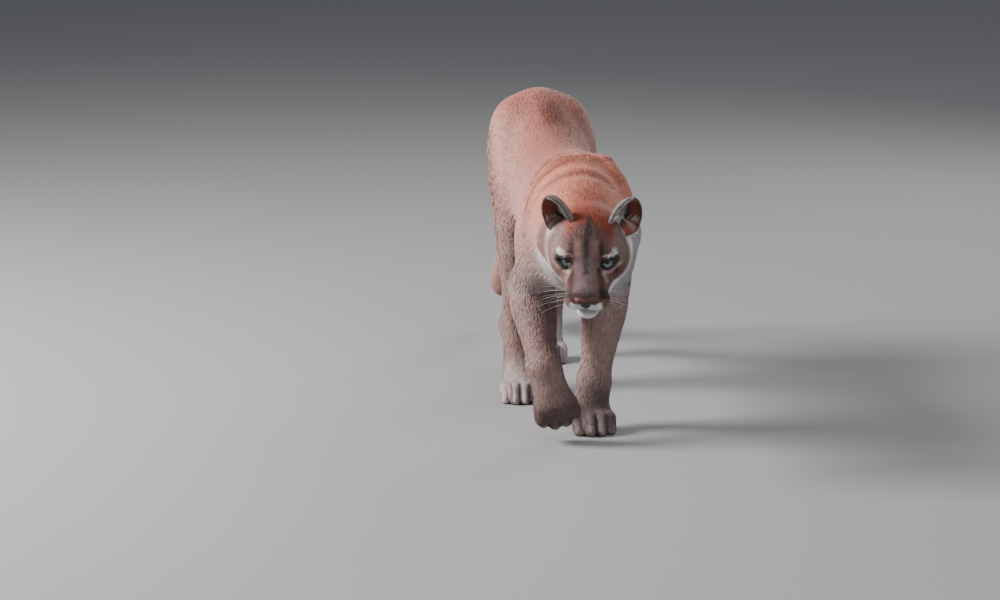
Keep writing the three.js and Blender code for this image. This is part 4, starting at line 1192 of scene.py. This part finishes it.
# The whiskers: stiff tapered bristles, white with a few dark ones, in rows on the pads of the muzzle and
# a few above each eye. The animal's own are kept, each set back in its pore.
WHISKER_ROWS = [(-18, 3, 76), (-24, 4, 80), (-30, 4, 84), (-36, 3, 82)]
WHISKER_STEPS, WHISKER_AROUND = 12, 6
chance = np.random.default_rng(7)
roots, ways, reaches, tints = [], [], [], []
for side in (-1, 1):
    for up, count, start in WHISKER_ROWS:
        for n in range(count):
            rise = 0.02 * (up + 36) - 0.12 + chance.normal(0, 0.08)
            roots.append([side * (36 - 2.5 * n), start + 6.5 * n, up + 0.8 * n])
            ways.append(unit(np.array([side, -0.1 + 0.08 * n, rise])))
            reaches.append(46 + 26 * chance.random())
            tints.append(srgb(198, 192, 188) if chance.random() < 0.85 else srgb(50, 38, 36))
    for n in range(3):
        roots.append([side * (24 + 4 * n), 44 - 2 * n, 36 + 1.5 * n])
        ways.append(unit(np.array([side * 0.8, 0.4, 0.7 - 0.1 * n])))
        reaches.append(26 + 10 * chance.random())
        tints.append(srgb(214, 206, 200))
roots, ways, reaches, tints = map(np.array, (roots, ways, reaches, tints))
roots, ways = HEAD_AT + head_way(roots), head_way(ways)
for _ in range(3):
    roots = settled(skin_distance, roots)
t = np.linspace(0, 1, WHISKER_STEPS)
droop = 0.22 * (t**2)[:, None] * [0, 0.25, -1.0]
line = roots[:, None] + reaches[:, None, None] * (t[:, None] * ways[:, None] + droop) - 2.0 * ways[:, None]
across = unit(np.cross(ways, [0.1, 0.3, 1.0]))
fat = 0.2 * (1 - t) ** 0.8 + 0.05
points = tube(line, across[:, None], np.cross(ways, across)[:, None], fat, fat, WHISKER_AROUND)
corners = WHISKER_STEPS * WHISKER_AROUND
faces = repeated(strip_faces(WHISKER_STEPS, WHISKER_AROUND), corners, len(roots))
whisker_horn = coat_material("whisker", 0.35)
mesh_piece("whiskers", points.reshape(-1, 3), faces, whisker_horn, "pale_fur",
           np.repeat(tints, corners, axis=0))

# The coat: short, dense hair in overlapping locks. Every lock is a thin blade bent to the skin, its root in
# the skin and its tip free, smallest on the face and feet. On the mount it is the tanned animal's own hair.
HAIR = coat_material("hair", 0.62)
LOCK_SIZE = 9.0
surface = Reading(6.0)


def read_surface():
    """The skin's distance on an even grid and how fast it grows, worked out only near the skin."""
    values = np.full(np.prod(surface.counts), 30.0)
    near = np.zeros(surface.counts, bool)
    cells = np.floor((skin_points - BODY_LOW) / surface.step).astype(int)
    for shift in every(*[range(-2, 4)] * 3):
        near[tuple(np.clip(cells + shift, 0, surface.counts - 1).T)] = True
    chosen = near.ravel()
    values[chosen] = skin_distance(surface.points()[chosen])
    slopes = np.gradient(values.reshape(surface.counts), surface.step)
    return np.column_stack([values] + [slope.ravel() for slope in slopes])


surface.values = read_surface()


def laid(places, height):
    """The places, moved to a height over the skin."""
    for _ in range(2):
        found = surface.at(places)
        way = unit(found[:, 1:])
        places = places + way * np.clip(height - found[:, 0], -6, 6)[:, None]
    return places


def scatter(points, faces, density, count, rng):
    """Random places on triangles, as many as asked, closer together where the density is higher."""
    a, b, c = (points[faces[:, n]] for n in range(3))
    size = np.linalg.norm(np.cross(b - a, c - a), axis=1) * density[faces].mean(1)
    chosen = rng.choice(len(faces), count, p=size / size.sum())
    u, v = rng.random((2, count))
    over = u + v > 1
    u, v = np.where(over, 1 - u, u), np.where(over, 1 - v, v)
    return chosen, np.stack([1 - u - v, u, v], 1)


def spread(values, faces, chosen, weights):
    """Values at the corners of triangles, read at places inside them."""
    return (values[faces[chosen]] * weights[..., None]).sum(1)


def lock_centres(places):
    """For each place, the nearest of points strewn one to a cell, so that hairs gather into locks.

    Where a cell's point lies is mixed from the cell's own numbers, so it takes no random draw.
    """
    home = np.floor(places / LOCK_SIZE).astype(np.int64)
    best, found = np.full(len(places), 1e9), np.zeros_like(places)
    for n in range(27):
        there = home + [n // 9 - 1, n // 3 % 3 - 1, n % 3 - 1]
        mixed = (there[:, 0] * 73856093) ^ (there[:, 1] * 19349663) ^ (there[:, 2] * 83492791)
        strewn = np.stack([np.modf(np.abs(np.sin(mixed % 65521 * f)) * 4375.85)[0]
                           for f in (12.9898, 78.233, 37.719)], 1)
        point = (there + strewn) * LOCK_SIZE
        d = ((places - point) ** 2).sum(1)
        near = d < best
        best = np.where(near, d, best)
        found = np.where(near[:, None], point, found)
    return found


def hair_piece(name, slot, roots, out, way, length, width, depth, colour, patch, rng, on_skin=True):
    """Locks of hair as blades of three triangles: two at the root, a mid pair and a tip.

    A blade leaves the skin at its root, rises to part of the coat's depth and lies along the coat. Its tip
    leans towards the middle of its lock. Each has a patch of the coat's map, at its root's place.
    """
    count = len(roots)
    way = unit(way - out * (way * out).sum(1)[:, None])
    across = np.cross(out, way)
    swing = rng.normal(0, 0.16, count)[:, None]
    way = unit(way + across * swing)
    across = np.cross(out, way)
    length = length * rng.uniform(0.72, 1.22, count)
    width = width * rng.uniform(0.75, 1.2, count)
    pull = lock_centres(roots) - roots
    pull -= out * (pull * out).sum(1)[:, None]
    pull -= way * (pull * way).sum(1)[:, None]
    lift = rng.random(count)
    middle = roots + way * (0.5 * length)[:, None] + 0.15 * pull
    tip = roots + way * length[:, None] + 0.3 * pull
    if on_skin:
        middle = laid(middle, depth * (0.35 + 0.4 * lift))
        tip = laid(tip, depth * (0.25 + 0.75 * lift))
    else:
        middle = middle + out * (depth * (0.35 + 0.4 * lift))[:, None]
        tip = tip + out * (depth * (0.25 + 0.75 * lift))[:, None]
    roll = across + out * rng.normal(0, 0.22, count)[:, None]
    half = roll * (0.5 * width)[:, None]
    base = roots - out * 0.4
    points = np.stack([base - 0.7 * half, base + 0.7 * half, middle - half, middle + half, tip], 1)
    points[..., 2] = np.maximum(points[..., 2], 0.4)
    start = 5 * np.arange(count)[:, None]
    faces = np.concatenate([start + [0, 1, 3], start + [0, 3, 2], start + [2, 3, 4]])
    colour = np.clip(colour * rng.normal(1, 0.07, count)[:, None], 0.004, 0.95)
    # Each blade is darker at its root and a little lighter at its tip: painted shade and light through the
    # depth of the coat.
    root_shade_to_tip = np.array([0.78, 0.78, 0.96, 0.96, 1.06])[:, None]
    colours = (colour[:, None] * root_shade_to_tip).reshape(-1, 3)
    made = mesh_piece(name, points.reshape(-1, 3), faces, HAIR, slot, colours)
    corner = np.array([[0.3, 0], [0.7, 0], [0, 0.5], [1, 0.5], [0.5, 1]]) * 0.003
    places = np.clip(patch, 0, 0.996)[:, None] + corner
    layer = made.data.uv_layers.new(name="OFBake")
    layer.data.foreach_set("uv", places.reshape(-1, 2)[faces.ravel()].astype(np.float32).ravel())


def around_line(places, line):
    """An unwrap about a line: the angle around it and how far along it each place is, both from 0 to 1."""
    _, along = line_distance(places, line)
    side = unit(np.cross(unit(line[-1] - line[0]), [1, 0.01, 0.02]))
    third = np.cross(unit(line[-1] - line[0]), side)
    lengths = np.concatenate([[0], np.cumsum(np.linalg.norm(np.diff(line, axis=0), axis=1))])
    middle = np.stack([np.interp(along, lengths / lengths[-1], line[:, n]) for n in range(3)], 1)
    q = places - middle
    return np.stack([np.arctan2(q @ side, q @ third) / (2 * np.pi) + 0.5, along], 1)


def around_head(places):
    """An unwrap of the head: a disc outward from the nose, as far from its middle as a place is from it."""
    h = of_head(places) - [0, 10, 0]
    polar = np.arccos(np.clip(h[:, 1] / np.linalg.norm(h, axis=1), -1, 1)) / np.pi
    turn = np.arctan2(h[:, 2], h[:, 0])
    return 0.5 + 0.49 * polar[:, None] * np.stack([np.cos(turn), np.sin(turn)], 1)


def piece_at(places):
    """The piece of coat that each place is in: the row of COAT_ROWS with the nearest line, in its reaches."""
    nearest = np.argmin([line_distance(places, row[1])[0] / row[2] for row in COAT_ROWS], axis=0)
    return np.array([row[0] for row in COAT_ROWS])[nearest]


skin_piece = piece_at(skin_points[skin_faces].mean(1))
hair_length = coat_reading.at(skin_points)[:, 0]
h = folded(skin_points)
LID_BARE, NOSE_BARE, LIP_BARE = 20.6, 1.6, 2.4
from_bare = np.min([np.linalg.norm(h - EYE, axis=1) - LID_BARE, nose_distance(skin_points) - NOSE_BARE,
                    from_lips(h) - LIP_BARE], axis=0)
rng = np.random.default_rng(11)
GROUPS = [
    ("head", "grey_face_fur", 64000, 0.9, None),
    ("neck", "rufous_fur", 48000, 1.4, SPINE_LINE),
    ("chest", "tawny_fur", 60000, 1.5, SPINE_LINE),
    ("loin", "tawny_fur", 62000, 1.6, SPINE_LINE),
    ("tail", "tawny_fur", 36000, 1.5, TAIL),
]
GROUPS += [(each["name"], "pale_fur", 49000, 1.2, each["line"]) for each in LEGS]
for name, slot, count, width, line in GROUPS:
    faces = skin_faces[skin_piece == name]
    gap = from_bare if name == "head" else np.full(len(skin_points), FAR)
    density = 1 / hair_length**1.6 * (gap > 0)
    chosen, weights = scatter(skin_points, faces, density, count, rng)
    roots = spread(skin_points, faces, chosen, weights)
    out = unit(spread(skin_normals, faces, chosen, weights))
    size, depth, *way = coat_reading.at(roots).T
    size = size * np.clip(spread(gap[:, None], faces, chosen, weights)[:, 0] / 16, 0.22, 1)
    widths = width * np.clip(size / 12, 0.5, 1.3)
    patch = around_head(roots) if line is None else around_line(roots, line)
    hair_piece(f"coat_{name}", slot, roots, out, np.stack(way, 1), size, widths, depth,
               coat_colour(roots, out), patch, rng)

# The ears' own hair: short behind and over the rim, and long and pale from the inner edge across the cup.
# It is the animal's own, on the skin that is drawn over the liner.
for side, name in SIDES:
    points, faces, colour, share, theta = ears[side]
    out = mesh_normals(points, faces)
    visible = surface.at(points)[:, 0] > -1
    density = (share > 0.02) * (share < 0.93) * visible
    chosen, weights = scatter(points, faces, density, 16000, rng)
    roots = spread(points, faces, chosen, weights)
    ways = unit(spread(out, faces, chosen, weights))
    s, a = (spread(values[:, None], faces, chosen, weights)[:, 0] for values in (share, theta))
    turn = ear_turn(side)
    tip_way = (turn @ [0, 0, 1]) @ HEAD_AXES
    over = (turn @ [side, 0, 0.6]) @ HEAD_AXES
    inner = (s > 0.52) * ramp(-np.cos(a), 0.0, 0.6)
    lie = unit(tip_way + inner[:, None] * 1.2 * over)
    low_edge = inner * ramp(-np.sin(a), -0.3, 0.5)
    length = 5 + 13 * inner + 6 * low_edge
    tint = spread(colour, faces, chosen, weights)
    tint = painted(tint, srgb(206, 200, 198), 0.4 * inner + 0.5 * low_edge)
    patch = np.stack([s, np.mod(a / (2 * np.pi), 1)], 1)
    hair_piece(f"coat_{name}_ear", "grey_face_fur", roots, ways, lie, length, 0.8 + 0.3 * inner,
               1.2 + 4 * inner, tint, patch, rng, on_skin=False)

# The camera stands in front and a little to the animal's right, above its back, and looks down its length
# through a long lens, as the photographer did.
CAMERA_AT = np.array([-0.939, -5.441, 1.410])
CAMERA_DOWN, CAMERA_TURN = math.radians(11.5), math.radians(8)
camera = placed("camera", bpy.data.cameras.new("camera"))
camera.data.sensor_width = 36.0
camera.data.lens = 95.4
camera.data.clip_end = 100.0
camera.location = CAMERA_AT + SHIFT
camera.rotation_euler = (math.pi / 2 - CAMERA_DOWN, 0.0, -CAMERA_TURN)
bpy.context.scene.camera = camera

# A flat grey floor and three soft studio lamps in a pale room: a broad key from the animal's right and
# above, a weaker one in front and above, and a rim light from behind on its left.
floor_mesh = bpy.data.meshes.new("floor")
FLOOR_REACH = 14
corners = [(x * FLOOR_REACH, y * FLOOR_REACH, 0) for x, y in ((-1, -1), (1, -1), (1, 1), (-1, 1))]
floor_mesh.from_pydata(corners, [], [(0, 1, 2, 3)])
floor_mesh.materials.append(new_material("floor_paint", Base_Color=(0.24, 0.24, 0.235, 1), Roughness=0.9))
placed("floor", floor_mesh)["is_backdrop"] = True
world = bpy.data.worlds.new("room")
bpy.context.scene.world = world
world.use_nodes = True
with_sockets(world.node_tree.nodes["Background"], Color=(0.86, 0.9, 1.0, 1), Strength=0.3)


def lamp(name, place, aim, size, power, colour):
    """A soft square lamp that points at a place."""
    light = bpy.data.lights.new(name, "AREA")
    light.size = size
    light.energy = power
    light.color = colour
    made = placed(name, light)
    made.location = place
    way = unit(np.array(aim, float) - place)
    level = math.hypot(way[0], way[1])
    made.rotation_euler = (math.atan2(level, -way[2]), 0.0, math.atan2(way[1], way[0]) - math.pi / 2)


lamp("key", [-3.7, 0.1, 2.6], [0, 0, 0.4], 1.5, 560, (1.0, 0.96, 0.97))
lamp("front", [0.9, -3.8, 3.0], [0, -0.3, 0.4], 2.2, 92, (0.85, 0.93, 1.0))
lamp("rim", [2.6, 2.6, 2.6], [0, 0.2, 0.5], 1.6, 80, (1.0, 0.96, 0.92))

size = {"cad": [list(corner) for corner in cad_box], "visual": [list(corner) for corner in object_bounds()]}
